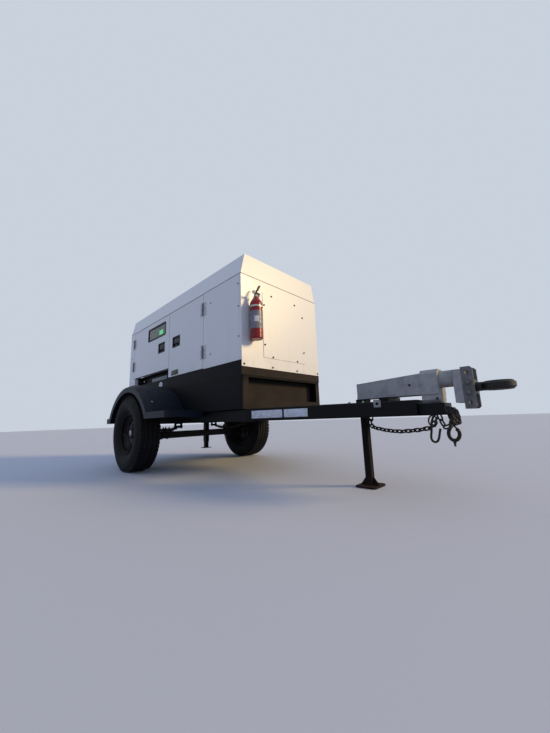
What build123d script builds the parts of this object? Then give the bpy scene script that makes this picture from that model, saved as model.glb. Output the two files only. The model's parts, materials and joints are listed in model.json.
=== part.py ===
"""Towable diesel generator: a sound-proofed set in a steel canopy that stands on a
fuel tank and a single-axle trailer with a sliding surge coupler.

Millimetres. +X points to the towing end, -Y is the side with the control panel
(the near side), +Z is up. The origin is on the ground, below the middle of the
whole length.
"""
import os
from itertools import product
from math import sqrt

from build123d import *

os.makedirs("parts", exist_ok=True)

# Heights of the frame, tank, skid, body and roof, one above the other
frame_bottom = 482
beam = 100
tank_height = 280
skid_height = 127
body_height = 771
roof_rise = 197
wall_drop = 56

# Canopy
canopy_length = 2505
canopy_width = 1060
roof_lean = 47
sheet = 3
panel_depth = 40
fold_depth = 20
seam = 2

# Doors: free gap round a door, and places measured back from the canopy's front face
door_gap = 8
hinge_gap = 6
front_door_start = 590
door_split = 1317
rear_strip_width = 144
lining_depth = 24
bay_height = 116
bay_margin = 61
bay_depth = 130

# Hinges, latches and window: heights above a door's opening (rise) or below the roof (drop)
hinge_size = (98, 128)
hinge_pin_radius = 5
hinge_knuckle_radius = 8
hinge_leaf = 3
hinge_rise = 165
hinge_drop = 168
latch_size = (172, 125)
latch_rim = 8
latch_depth = 24
latch_rise = 395
latch_reach = (172, 195)
window_size = (488, 156)
window_corner = 18
window_reach = 343
window_drop = 150

# Trailer frame
tow_reach = 1672
rear_overhang = 52
beam_wall = 6
beam_corner = 10
rail_spacing = 900
drawbar_length = 1180
drawbar_tip_spacing = 110

# Wheels and axle
axle_back = 1533
tyre_radius = 397
tyre_width = 245
wheel_spacing = 1545
rim_radius = 203
bead_spacing = 140
axle_tube = 76
axle_height = 354
spindle_radius = 20
running_gap = 0.3
spring_spacing = 900
spring_length = 660
spring_width = 60
spring_leaf = 9
spring_leaves = 3

# Fenders: radii of the arch's crown, bevelled edge and opening, and the flat ledges' ends
# as distances from the axle with their heights
fender_outer = 905
fender_sheet = 3
fender_crown = 625
fender_edge = 600
fender_opening = 546
fender_bevel = 60
fender_arch_offset = 53
fender_arch_height = 281
fender_front = (948, 597)
fender_rear = (552, 561)
fender_ledge = 58

# Tank: the recess in its front end, between two posts, a sill and the top plate
floor_sheet = 6
tank_corner = 20
tank_post = 68
tank_sill = 69
tank_lip = 17
tank_recess = 80

# Stand leg under the drawbar, ahead of the canopy's front face
leg_ahead = 771
leg_size = 48
leg_wall = 5
leg_clearance = 0.8
leg_sleeve_wall = 6
leg_sleeve_height = 150
leg_top = 565
foot_size = (150, 180)
foot_thickness = 12

# Surge coupler on the drawbar's nose, places ahead of the canopy's front face
actuator_start = 761
actuator_end = 1206
actuator_width = 130
actuator_wall = 8
actuator_bottom = 612
actuator_top = (724, 747)
block_end = 1308
block_width = 150
block_top = 765
block_split = 616
slide_radius = 52
slide_wall = 10
slide_clearance = 0.5
slide_height = 701
coupler_reach = 285
slide_end = tow_reach - coupler_reach
slide_travel = 50
slide_play = 5
slide_mount = (44, 195)
slide_mount_bottom = 550
coupler_channel = (59, 243)
coupler_channel_width = 120
coupler_channel_wall = 12
coupler_bottom = 513
lunette_hole_radius = 38
lunette_section = (41, 50)
lunette_chamfer = 13
shank_radii = (29, 25)
lunette_height = 637

# Places that follow from the sizes above
beam_top = frame_bottom + beam
tank_top = beam_top + tank_height
skid_top = tank_top + skid_height
seam_height = skid_top + body_height
roof_height = seam_height + roof_rise
floor_top = tank_top + floor_sheet
rear_door_end = canopy_length - rear_strip_width
bay_end = rear_door_end - bay_margin
front_x = (canopy_length + rear_overhang - tow_reach) / 2
rear_x = front_x - canopy_length
middle_x = (front_x + rear_x) / 2
nose_x = front_x + tow_reach
half_width = canopy_width / 2
rail_y = rail_spacing / 2
axle_x = front_x - axle_back
wheel_y = wheel_spacing / 2
wheel_height = tyre_radius
SIDES = ((-1, "near"), (1, "far"))


def back(distance):
    """X of a place measured back from the canopy's front face."""
    return front_x - distance


def side_plane(side, x, y, z):
    """Plane that faces out of the near (-1) or far (1) side, its second axis up."""
    return Plane(origin=(x, side * y, z), x_dir=(-side, 0, 0), z_dir=(0, side, 0))


def end_plane(direction, x, y, z):
    """Plane that faces the tow end (1) or the rear (-1), its second axis up."""
    return Plane(origin=(x, y, z), x_dir=(0, direction, 0), z_dir=(direction, 0, 0))


def folded_panel(plane, width, height, depth, lining=0):
    """Sheet-metal panel with all four edges folded back, and foam in the tray."""
    with BuildPart() as panel:
        with BuildSketch(plane):
            Rectangle(width, height)
        extrude(amount=-depth)
        with BuildSketch(plane.offset(-depth)):
            Rectangle(width - 2 * sheet, height - 2 * sheet)
        extrude(amount=depth - sheet - lining, mode=Mode.SUBTRACT)
    return panel.part


def square_tube(plane, size, wall, length, corner):
    """Square tube that starts on a plane and runs along its normal."""
    with BuildPart() as tube:
        with BuildSketch(plane):
            RectangleRounded(size, size, corner)
            RectangleRounded(size - 2 * wall, size - 2 * wall, corner - wall / 2, mode=Mode.SUBTRACT)
        extrude(amount=length)
    return tube.part


# How far a drawbar beam comes in along its reach, and how much that widens its section
narrowing = (rail_y - drawbar_tip_spacing / 2) / drawbar_length
slant = sqrt(1 + narrowing**2)


def drawbar_inner(ahead):
    """Distance from the middle to a drawbar beam's inner face, ahead of the canopy."""
    return rail_y - narrowing * ahead - beam / 2 * slant


def drawbar_face(side, ahead, z):
    """Plane on a drawbar beam's outer face that faces out, its second axis up."""
    outer_y = rail_y - narrowing * ahead + beam / 2 * slant
    return Plane(
        origin=(front_x + ahead, side * outer_y, z),
        x_dir=(-side, narrowing, 0),
        z_dir=(narrowing, side, 0),
    )


def slanted_bar(side, size, corner, reach):
    """Solid square bar along a drawbar beam's line, cut square where it starts and ends."""
    start = Plane(
        origin=(front_x - beam, side * (rail_y + narrowing * beam), frame_bottom + beam / 2),
        x_dir=(side * narrowing, 1, 0),
        z_dir=(1, -side * narrowing, 0),
    )
    with BuildPart() as bar:
        with BuildSketch(start):
            RectangleRounded(size, size, corner)
        extrude(amount=(drawbar_length + 2 * beam) * slant)
        with BuildSketch(Plane.XY.offset(frame_bottom)):
            with Locations((front_x + reach / 2, 0)):
                Rectangle(reach, 2 * rail_spacing)
        extrude(amount=beam, mode=Mode.INTERSECT)
    return bar.part


# Trailer frame: two side rails, and the drawbar's beams, closed at the tip, with a chain tab each
tab_ahead = 962
tab_size = (44, 52)
tab_drop = 14
tab_hole_radius = 9
tab_thickness = 10
for side, tag in SIDES:
    with BuildPart() as side_rail:
        add(square_tube(end_plane(1, rear_x, side * rail_y, frame_bottom + beam / 2),
                        beam, beam_wall, canopy_length, beam_corner))
    side_rail.part.label = f"side_rail_{tag}"
    export_step(side_rail.part, f"parts/side_rail_{tag}.step")

    with BuildPart() as drawbar:
        add(slanted_bar(side, beam, beam_corner, drawbar_length))
        hollow = slanted_bar(side, beam - 2 * beam_wall, beam_corner - beam_wall / 2, drawbar_length - beam_wall)
        add(hollow, mode=Mode.SUBTRACT)
        with BuildSketch(drawbar_face(side, tab_ahead, beam_top - tab_drop)):
            Rectangle(*tab_size)
            Circle(tab_hole_radius, mode=Mode.SUBTRACT)
        extrude(amount=tab_thickness)
    drawbar.part.label = f"drawbar_{tag}"
    export_step(drawbar.part, f"parts/drawbar_{tag}.step")

cross_member_backs = (beam / 2, axle_back - spring_length / 2, axle_back + spring_length / 2)
cross_member_share = 0.8
inner_span = rail_spacing - beam
with BuildPart() as cross_members:
    for distance in cross_member_backs:
        add(square_tube(side_plane(1, back(distance), -inner_span / 2, frame_bottom + beam / 2),
                        beam * cross_member_share, beam_wall, inner_span, beam_corner))
cross_members.part.label = "cross_members"
export_step(cross_members.part, "parts/cross_members.step")

rear_bar_depth = 30
with BuildPart() as rear_bar:
    with BuildSketch(end_plane(-1, rear_x, 0, frame_bottom + beam / 2)):
        Rectangle(canopy_width, beam)
    extrude(amount=rear_bar_depth)
    with BuildSketch(end_plane(-1, rear_x, 0, frame_bottom + beam / 2)):
        Rectangle(canopy_width - 2 * beam_wall, beam - 2 * beam_wall)
    extrude(amount=rear_bar_depth - beam_wall, mode=Mode.SUBTRACT)
rear_bar.part.label = "rear_bar"
export_step(rear_bar.part, "parts/rear_bar.step")

# Drawbar plates: the nose box that closes its tip, and the pad that carries the coupler's channel
nose_length = 150
nose_height = 73
nose_width = 150
pad_ahead = 972
pad_length = 64
pad_lap = 30
with BuildPart() as drawbar_plates:
    with BuildSketch(end_plane(1, front_x + drawbar_length, 0, frame_bottom + nose_height / 2)):
        Rectangle(nose_width, nose_height)
    extrude(amount=nose_length)
    with BuildSketch(end_plane(1, front_x + drawbar_length, 0, frame_bottom + nose_height / 2)):
        Rectangle(nose_width - 2 * beam_wall, nose_height - 2 * beam_wall)
    extrude(amount=nose_length - beam_wall, mode=Mode.SUBTRACT)
    with BuildSketch(end_plane(1, front_x + pad_ahead - pad_length / 2, 0, (beam_top + actuator_bottom) / 2)):
        Rectangle(2 * (drawbar_inner(pad_ahead) + pad_lap), actuator_bottom - beam_top)
    extrude(amount=pad_length)
drawbar_plates.part.label = "drawbar_plates"
export_step(drawbar_plates.part, "parts/drawbar_plates.step")

# Fuel tank between the rails and the skid, with a recess in its front end
recess_height = tank_height - tank_sill - tank_lip
with BuildPart() as fuel_tank:
    with BuildSketch(Plane.XY.offset(beam_top)):
        with Locations((middle_x, 0)):
            RectangleRounded(canopy_length, canopy_width, tank_corner)
    extrude(amount=tank_height)
    with BuildSketch(end_plane(1, front_x, 0, beam_top + tank_sill + recess_height / 2)):
        Rectangle(canopy_width - 2 * tank_post, recess_height)
    extrude(amount=-tank_recess, mode=Mode.SUBTRACT)
fuel_tank.part.label = "fuel_tank"
export_step(fuel_tank.part, "parts/fuel_tank.step")

# Skid frame: a ring of folded channel round the floor, open to the inside
skid_wall = panel_depth + door_gap
skid_sheet = 5
skid_length = canopy_length - 2 * sheet
with BuildPart() as skid_frame:
    with BuildSketch(Plane.XY.offset(tank_top)):
        with Locations((middle_x, 0)):
            Rectangle(skid_length, canopy_width)
            Rectangle(skid_length - 2 * skid_wall, canopy_width - 2 * skid_wall, mode=Mode.SUBTRACT)
    extrude(amount=skid_height)
    with BuildSketch(Plane.XY.offset(tank_top + skid_sheet)):
        with Locations((middle_x, 0)):
            Rectangle(skid_length - 2 * skid_sheet, canopy_width - 2 * skid_sheet)
    extrude(amount=skid_height - 2 * skid_sheet, mode=Mode.SUBTRACT)
skid_frame.part.label = "skid_frame"
export_step(skid_frame.part, "parts/skid_frame.step")

with BuildPart() as floor_plate:
    with BuildSketch(Plane.XY.offset(tank_top)):
        with Locations((middle_x, 0)):
            Rectangle(skid_length - 2 * skid_wall, canopy_width - 2 * skid_wall)
    extrude(amount=floor_sheet)
floor_plate.part.label = "floor_plate"
export_step(floor_plate.part, "parts/floor_plate.step")

# Canopy ends: folded walls whose sheet runs down over the skid, the front one with a
# bolted cover, the rear one with the intake louvres
wall_height = body_height - seam
wall_middle = skid_top + wall_height / 2


def end_wall(direction, x):
    """Folded wall of one end, with a flat sheet that hangs down in front of the skid."""
    with BuildPart() as wall:
        add(folded_panel(end_plane(direction, x, 0, wall_middle), canopy_width, wall_height, fold_depth))
        with BuildSketch(end_plane(direction, x, 0, skid_top - wall_drop / 2)):
            Rectangle(canopy_width, wall_drop)
        extrude(amount=-sheet)
    return wall.part


with BuildPart() as front_wall:
    add(end_wall(1, front_x))
front_wall.part.label = "front_wall"
export_step(front_wall.part, "parts/front_wall.step")

cover_size = (585, 615)
cover_rise = 354
cover_place = (13, skid_top + cover_rise)
cover_sheet = 4
with BuildPart() as front_cover:
    with BuildSketch(end_plane(1, front_x, *cover_place)):
        Rectangle(*cover_size)
    extrude(amount=cover_sheet)
front_cover.part.label = "front_cover"
export_step(front_cover.part, "parts/front_cover.step")

louvre_opening = (820, 560)
louvre_middle = skid_top + body_height / 2
with BuildPart() as rear_wall:
    add(end_wall(-1, rear_x))
    with BuildSketch(end_plane(-1, rear_x, 0, louvre_middle)):
        Rectangle(*louvre_opening)
    extrude(amount=-fold_depth, mode=Mode.SUBTRACT)
rear_wall.part.label = "rear_wall"
export_step(rear_wall.part, "parts/rear_wall.step")

# Intake louvres: sloping blades between two side cheeks, set in the rear wall's opening
louvre_pitch = 56
louvre_depth = 60
louvre_cheek = 4
louvre_slope = 35
blade_count = int(louvre_opening[1] // louvre_pitch)
with BuildPart() as intake_louvres:
    for side in (-1, 1):
        cheek_y = side * (louvre_opening[0] / 2 - louvre_cheek / 2)
        with BuildSketch(end_plane(1, rear_x, cheek_y, louvre_middle)):
            Rectangle(louvre_cheek, louvre_opening[1])
        extrude(amount=louvre_depth)
    blade_end = louvre_opening[0] / 2 - louvre_cheek
    with BuildSketch(side_plane(-1, rear_x + louvre_depth / 2, blade_end, louvre_middle)):
        with GridLocations(0, louvre_pitch, 1, blade_count):
            Rectangle(louvre_depth, sheet, rotation=louvre_slope)
    extrude(amount=-2 * blade_end)
intake_louvres.part.label = "intake_louvres"
export_step(intake_louvres.part, "parts/intake_louvres.step")

# Fixed side panels beside the front doors, and the upright strips at the rear corners
panel_start = fold_depth + seam
panel_end = front_door_start - hinge_gap / 2
with BuildPart() as side_panels:
    for side in (-1, 1):
        add(folded_panel(side_plane(side, back((panel_start + panel_end) / 2), half_width, wall_middle),
                         panel_end - panel_start, wall_height, panel_depth))
side_panels.part.label = "side_panels"
export_step(side_panels.part, "parts/side_panels.step")

strip_start = rear_door_end + hinge_gap / 2
strip_end = canopy_length - fold_depth - seam
jamb_height = bay_height - door_gap
with BuildPart() as rear_strips:
    for side in (-1, 1):
        add(folded_panel(side_plane(side, back((strip_start + strip_end) / 2), half_width, wall_middle),
                         strip_end - strip_start, wall_height, panel_depth))
    with BuildSketch(side_plane(-1, back((bay_end + strip_start) / 2), half_width, skid_top + jamb_height / 2)):
        Rectangle(strip_start - bay_end, jamb_height)
    extrude(amount=-panel_depth)
rear_strips.part.label = "rear_strips"
export_step(rear_strips.part, "parts/rear_strips.step")

# Door posts just ahead of the doors' split, from the floor to the roof's flange
post_width = 60
post_depth = 30
post_back = door_split - door_gap / 2 - post_width / 2
inner_y = half_width - panel_depth - door_gap
with BuildPart() as door_posts:
    with BuildSketch(Plane.XY.offset(floor_top)):
        for side in (-1, 1):
            with Locations((back(post_back), side * (inner_y - post_depth / 2))):
                Rectangle(post_width, post_depth)
    extrude(amount=seam_height - floor_top)
door_posts.part.label = "door_posts"
export_step(door_posts.part, "parts/door_posts.step")

# Doors: the near pair swings, the far pair is shut and repeats it
door_top = seam_height - door_gap
bay_top = skid_top + bay_height
front_door_edges = (front_door_start + hinge_gap / 2, door_split - door_gap / 2)
rear_door_edges = (door_split + door_gap / 2, rear_door_end - hinge_gap / 2)
front_latch_place = (door_split - latch_reach[0], skid_top + latch_rise)
rear_latch_place = (door_split + latch_reach[1], skid_top + latch_rise)
window_place = (door_split + window_reach, seam_height - window_drop)


def door_panel(side, edges, bottom):
    """Lined door between two places along the side, from its bottom up to the roof."""
    plane = side_plane(side, back((edges[0] + edges[1]) / 2), half_width, (bottom + door_top) / 2)
    return folded_panel(plane, edges[1] - edges[0], door_top - bottom, panel_depth, lining_depth)


def latch_cut(side, place):
    """Pocket through a door's skin for the recessed latch."""
    with BuildPart() as pocket:
        with BuildSketch(side_plane(side, back(place[0]), half_width, place[1])):
            Rectangle(latch_size[0] - 2 * latch_rim, latch_size[1] - 2 * latch_rim)
        extrude(amount=-panel_depth)
    return pocket.part


with BuildPart() as front_door:
    add(door_panel(-1, front_door_edges, skid_top + door_gap))
    add(latch_cut(-1, front_latch_place), mode=Mode.SUBTRACT)
front_door.part.label = "front_door"
export_step(front_door.part, "parts/front_door.step")

with BuildPart() as rear_door:
    add(door_panel(-1, rear_door_edges, bay_top))
    add(latch_cut(-1, rear_latch_place), mode=Mode.SUBTRACT)
    with BuildSketch(side_plane(-1, back(window_place[0]), half_width, window_place[1])):
        RectangleRounded(*window_size, window_corner)
    extrude(amount=-panel_depth, mode=Mode.SUBTRACT)
rear_door.part.label = "rear_door"
export_step(rear_door.part, "parts/rear_door.step")

with BuildPart() as far_doors:
    for edges in (front_door_edges, rear_door_edges):
        add(door_panel(1, edges, skid_top + seam))
    for place in (front_latch_place, rear_latch_place):
        add(latch_cut(1, place), mode=Mode.SUBTRACT)
far_doors.part.label = "far_doors"
export_step(far_doors.part, "parts/far_doors.step")

# Window of the rear door: rubber seal with a lip on the skin, round a clear pane
seal_width = 12
seal_depth = 8
seal_lip = (6, 2.5)
pane_thickness = 4
pane_size = (window_size[0] - 2 * seal_width, window_size[1] - 2 * seal_width)
pane_corner = window_corner - seal_width
window_plane = side_plane(-1, back(window_place[0]), half_width, window_place[1])
with BuildPart() as window_seal:
    with BuildSketch(window_plane.offset(-seal_depth)):
        RectangleRounded(*window_size, window_corner)
        RectangleRounded(*pane_size, pane_corner, mode=Mode.SUBTRACT)
    extrude(amount=seal_depth)
    with BuildSketch(window_plane):
        RectangleRounded(window_size[0] + 2 * seal_lip[0], window_size[1] + 2 * seal_lip[0],
                         window_corner + seal_lip[0])
        RectangleRounded(*pane_size, pane_corner, mode=Mode.SUBTRACT)
    extrude(amount=seal_lip[1])
window_seal.part.label = "window_seal"
export_step(window_seal.part, "parts/window_seal.step")

with BuildPart() as window_pane:
    with BuildSketch(window_plane.offset(-seal_depth)):
        RectangleRounded(*pane_size, pane_corner)
    extrude(amount=pane_thickness)
window_pane.part.label = "window_pane"
export_step(window_pane.part, "parts/window_pane.step")

latch_play = 0.5
latch_flange = 2
latch_wall = 3
paddle_margin = (20, 25)
paddle_rise = 12
paddle_drop = 4
barrel_radius = 9
barrel_margin = 18


def recessed_latch(side, place):
    """Flanged dish set in a door, with its paddle and key barrel."""
    plane = side_plane(side, back(place[0]), half_width, place[1])
    width, height = (size - 2 * (latch_rim + latch_play) for size in latch_size)
    with BuildPart() as latch:
        with BuildSketch(plane):
            RectangleRounded(*latch_size, latch_rim)
        extrude(amount=latch_flange)
        with BuildSketch(plane):
            Rectangle(width, height)
        extrude(amount=-latch_depth)
        with BuildSketch(plane.offset(latch_flange)):
            Rectangle(width - 2 * latch_wall, height - 2 * latch_wall)
        extrude(amount=-latch_depth, mode=Mode.SUBTRACT)
        with BuildSketch(plane.offset(-latch_depth)) as paddle:
            with Locations((0, paddle_rise)):
                Rectangle(width - 2 * paddle_margin[0], height - 2 * paddle_margin[1])
            chamfer(paddle.vertices(), latch_rim)
        extrude(amount=latch_depth - paddle_drop)
        with BuildSketch(plane.offset(-latch_depth)):
            with Locations((0, barrel_margin - height / 2)):
                Circle(barrel_radius)
        extrude(amount=latch_depth - latch_flange)
    return latch.part


for latch_name, latch_places in (
    ("front_door_latch", ((-1, front_latch_place),)),
    ("rear_door_latch", ((-1, rear_latch_place),)),
    ("far_door_latches", ((1, front_latch_place), (1, rear_latch_place))),
):
    with BuildPart() as latches:
        for side, place in latch_places:
            add(recessed_latch(side, place))
    latches.part.label = latch_name
    export_step(latches.part, f"parts/{latch_name}.step")

# Hinges: three knuckles on a pin that stands just clear of the canopy's side
knuckle_y = half_width + hinge_knuckle_radius + 1
knuckle_height = hinge_size[1] / 3
knuckle_play = 0.4


def hinge_half(axis_back, height, toward, knuckles, with_pin):
    """One leaf of a near-side hinge: toward is 1 for the leaf that reaches to the rear."""
    axis_x = back(axis_back)
    bottom = height - hinge_size[1] / 2
    with BuildPart() as half_hinge:
        for index in knuckles:
            with BuildSketch(Plane.XY.offset(bottom + index * knuckle_height + knuckle_play)):
                with Locations((axis_x, -knuckle_y)):
                    Circle(hinge_knuckle_radius)
                with Locations((axis_x - toward * hinge_knuckle_radius, -half_width - hinge_leaf / 2)):
                    Rectangle(hinge_knuckle_radius, hinge_leaf)
            extrude(amount=knuckle_height - 2 * knuckle_play)
        leaf_length = hinge_size[0] / 2 - hinge_knuckle_radius
        leaf_x = axis_x - toward * (hinge_knuckle_radius + leaf_length / 2)
        with BuildSketch(side_plane(-1, leaf_x, half_width, height)):
            Rectangle(leaf_length, hinge_size[1])
        extrude(amount=hinge_leaf)
        with BuildSketch(Plane.XY.offset(bottom)):
            with Locations((axis_x, -knuckle_y)):
                Circle(hinge_pin_radius + (0 if with_pin else running_gap))
        extrude(amount=hinge_size[1], mode=Mode.ADD if with_pin else Mode.SUBTRACT)
    return half_hinge.part


door_hinges = (
    ("front_door_hinges", front_door_start, 1, skid_top),
    ("rear_door_hinges", rear_door_end, -1, bay_top),
)
for hinge_name, axis_back, toward, opening_bottom in door_hinges:
    with BuildPart() as moving_leaves:
        for height in (opening_bottom + hinge_rise, seam_height - hinge_drop):
            add(hinge_half(axis_back, height, toward, (1,), False))
    moving_leaves.part.label = hinge_name
    export_step(moving_leaves.part, f"parts/{hinge_name}.step")

with BuildPart() as fixed_hinges:
    for _, axis_back, toward, opening_bottom in door_hinges:
        for height in (opening_bottom + hinge_rise, seam_height - hinge_drop):
            add(hinge_half(axis_back, height, -toward, (0, 2), True))
            with BuildSketch(side_plane(1, back(axis_back), half_width, height)):
                Rectangle(*hinge_size)
            extrude(amount=hinge_leaf)
            with BuildSketch(Plane.XY.offset(height - hinge_size[1] / 2)):
                with Locations((back(axis_back), knuckle_y)):
                    Circle(hinge_knuckle_radius)
            extrude(amount=hinge_size[1])
fixed_hinges.part.label = "fixed_hinges"
export_step(fixed_hinges.part, "parts/fixed_hinges.step")

# Roof: a sheet shell with leaning sides, open below, with the hot-air outlet on top
outlet_size = (360, 640)
outlet_back = 250
roof_flange = 80
with BuildPart() as roof:
    for inset, mode in ((0, Mode.ADD), (sheet, Mode.SUBTRACT)):
        with BuildSketch(end_plane(1, rear_x + inset, 0, seam_height)):
            with BuildLine():
                Polyline(
                    (-half_width + inset, 0),
                    (-half_width + roof_lean + inset, roof_rise - inset),
                    (half_width - roof_lean - inset, roof_rise - inset),
                    (half_width - inset, 0),
                    close=True,
                )
            make_face()
        extrude(amount=canopy_length - 2 * inset, mode=mode)
    with BuildSketch(Plane.XY.offset(seam_height)):
        with Locations((middle_x, 0)):
            Rectangle(canopy_length - 2 * sheet, canopy_width - 2 * sheet)
            Rectangle(canopy_length - 2 * roof_flange, canopy_width - 2 * roof_flange, mode=Mode.SUBTRACT)
    extrude(amount=sheet)
    with BuildSketch(Plane.XY.offset(roof_height)):
        with Locations((back(outlet_back), 0)):
            Rectangle(*outlet_size)
    extrude(amount=-2 * sheet, mode=Mode.SUBTRACT)
roof.part.label = "roof"
export_step(roof.part, "parts/roof.step")

grille_bars = 8
grille_depth = 30
with BuildPart() as roof_grille:
    with BuildSketch(Plane.XY.offset(roof_height - grille_depth)):
        with Locations((back(outlet_back), 0)):
            Rectangle(*outlet_size)
            Rectangle(outlet_size[0] - 2 * sheet, outlet_size[1] - 2 * sheet, mode=Mode.SUBTRACT)
            with GridLocations(outlet_size[0] / (grille_bars + 1), 0, grille_bars, 1):
                Rectangle(sheet, outlet_size[1])
    extrude(amount=grille_depth)
roof_grille.part.label = "roof_grille"
export_step(roof_grille.part, "parts/roof_grille.step")

# Lifting eye on the roof, over the set's centre of mass
eye_back = 1190
eye_base = (180, 90, 8)
eye_thickness = 16
eye_hole_radius = 22
eye_radius = 45
eye_rise = 60
with BuildPart() as lifting_eye:
    with BuildSketch(Plane.XY.offset(roof_height)):
        with Locations((back(eye_back), 0)):
            Rectangle(eye_base[0], eye_base[1])
    extrude(amount=eye_base[2])
    with BuildSketch(side_plane(1, back(eye_back), -eye_thickness / 2, roof_height + eye_rise)):
        Circle(eye_radius)
        with Locations((0, (eye_base[2] - eye_rise) / 2)):
            Rectangle(2 * eye_radius, eye_rise - eye_base[2])
        Circle(eye_hole_radius, mode=Mode.SUBTRACT)
    extrude(amount=eye_thickness)
lifting_eye.part.label = "lifting_eye"
export_step(lifting_eye.part, "parts/lifting_eye.step")

# Terminal bay under the rear door: a tray with a back plate, and the lug panel in it
bay_start = door_split - door_gap / 2
bay_middle = back((bay_start + bay_end) / 2)
bay_back = half_width - bay_depth
bay_edge = inner_y + door_gap
bay_lid = bay_height - seam
with BuildPart() as terminal_bay:
    with BuildSketch(end_plane(1, back(bay_end), 0, skid_top)):
        with BuildLine():
            Polyline(
                (-bay_edge, 0), (-bay_back, 0), (-bay_back, bay_lid), (-inner_y, bay_lid),
                (-inner_y, bay_lid - sheet), (-bay_back - sheet, bay_lid - sheet),
                (-bay_back - sheet, sheet), (-bay_edge, sheet), close=True,
            )
        make_face()
    extrude(amount=bay_end - bay_start)
terminal_bay.part.label = "terminal_bay"
export_step(terminal_bay.part, "parts/terminal_bay.step")

lug_count = 5
lug_pitch = 90
lug_radius = 20
lug_length = 30
lug_board = 10
lug_margin = 15
with BuildPart() as terminal_lugs:
    with BuildSketch(side_plane(-1, bay_middle, bay_back + sheet, skid_top + bay_height / 2)):
        Rectangle(lug_pitch * (lug_count + 1), bay_height - 2 * lug_margin)
    extrude(amount=lug_board)
    with BuildSketch(side_plane(-1, bay_middle, bay_back + sheet + lug_board, skid_top + bay_height / 2)):
        with GridLocations(lug_pitch, 0, lug_count, 1):
            Circle(lug_radius)
    extrude(amount=lug_length)
terminal_lugs.part.label = "terminal_lugs"
export_step(terminal_lugs.part, "parts/terminal_lugs.step")

# Control cabinet behind the window: its box, door plate and the controller's bezel
cabinet_width = 570
cabinet_depth = 150
cabinet_drop = 30
cabinet_margin = 25
controller_size = (210, 118)
controller_reach = 285
controller_bezel = 14
controller_screen = (120, 62)
screen_depth = 5
cabinet_bottom = bay_top - seam
cabinet_top = seam_height - cabinet_drop
cabinet_middle = (cabinet_bottom + cabinet_top) / 2
cabinet_plane = side_plane(-1, back(window_place[0]), inner_y, cabinet_middle)
controller_plane = side_plane(-1, back(door_split + controller_reach), inner_y, window_place[1])
with BuildPart() as control_cabinet:
    with BuildSketch(cabinet_plane.offset(-sheet)):
        Rectangle(cabinet_width, cabinet_top - cabinet_bottom)
    extrude(amount=sheet - cabinet_depth)
    with BuildSketch(cabinet_plane.offset(-sheet)):
        Rectangle(cabinet_width - 2 * cabinet_margin, cabinet_top - cabinet_bottom - 2 * cabinet_margin)
    extrude(amount=sheet)
    with BuildSketch(controller_plane):
        Rectangle(*controller_size)
    extrude(amount=controller_bezel)
    with BuildSketch(controller_plane.offset(controller_bezel)):
        Rectangle(*controller_screen)
    extrude(amount=-screen_depth, mode=Mode.SUBTRACT)
control_cabinet.part.label = "control_cabinet"
export_step(control_cabinet.part, "parts/control_cabinet.step")

# Cooler: core between two header tanks, and the fan's shroud behind it
crank_rise = 191
crank_height = skid_top + crank_rise
cooler_width = 760
cooler_header = 70
cooler_start = 70
cooler_depth = 100
core_inset = 12
shroud_depth = 60
shroud_throat = 440
cooler_top = seam_height - 60
cooler_middle = (floor_top + cooler_top) / 2
with BuildPart() as cooler:
    with BuildSketch(end_plane(-1, back(cooler_start), 0, cooler_middle)):
        Rectangle(cooler_width, cooler_top - floor_top)
    extrude(amount=cooler_depth)
    for direction, place in ((1, cooler_start), (-1, cooler_start + cooler_depth)):
        with BuildSketch(end_plane(direction, back(place), 0, cooler_middle)):
            Rectangle(cooler_width - cooler_header, cooler_top - floor_top - 2 * cooler_header)
        extrude(amount=-core_inset, mode=Mode.SUBTRACT)
    core_back = cooler_start + cooler_depth - core_inset
    with BuildSketch(end_plane(-1, back(core_back), 0, cooler_middle)):
        Rectangle(cooler_width - 2 * cooler_header, cooler_width - 2 * cooler_header)
    with BuildSketch(end_plane(-1, back(core_back + shroud_depth), 0, cooler_middle)):
        Rectangle(shroud_throat, shroud_throat)
    loft()
cooler.part.label = "cooler"
export_step(cooler.part, "parts/cooler.step")

# Engine: crankcase, sump, head, rocker cover, flywheel housing, pulley and air cleaner.
# Widths and heights are those of its cross-section, heights from the crankshaft.
engine_front = 330
engine_rear = 1080
case_rise = 200
case_drop = 90
case_width = (340, 260)
sump_drop = 205
sump_width = (280, 180)
sump_span = (380, 900)
head_size = (230, 90)
rocker_size = (150, 120, 60)
head_margin = 40
housing_radius = 225
housing_depth = 95
pulley_radius = 85
pulley_depth = 45
cleaner_radius = 80
cleaner_span = (420, 740)
cleaner_place = (110, 430)
foot_section = (90, 60)
foot_spacing = (560, 400)
case_end = engine_rear - housing_depth
head_rise = case_rise + head_size[1]
engine_steps = (
    (engine_front, case_end, *case_width, -case_drop, case_rise),
    (*sump_span, sump_width[1], sump_width[0], -sump_drop, -case_drop),
    (engine_front + head_margin, case_end - head_margin, head_size[0], head_size[0], case_rise, head_rise),
    (engine_front + 2 * head_margin, case_end - 2 * head_margin, rocker_size[0], rocker_size[1],
     head_rise, head_rise + rocker_size[2]),
)
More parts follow.
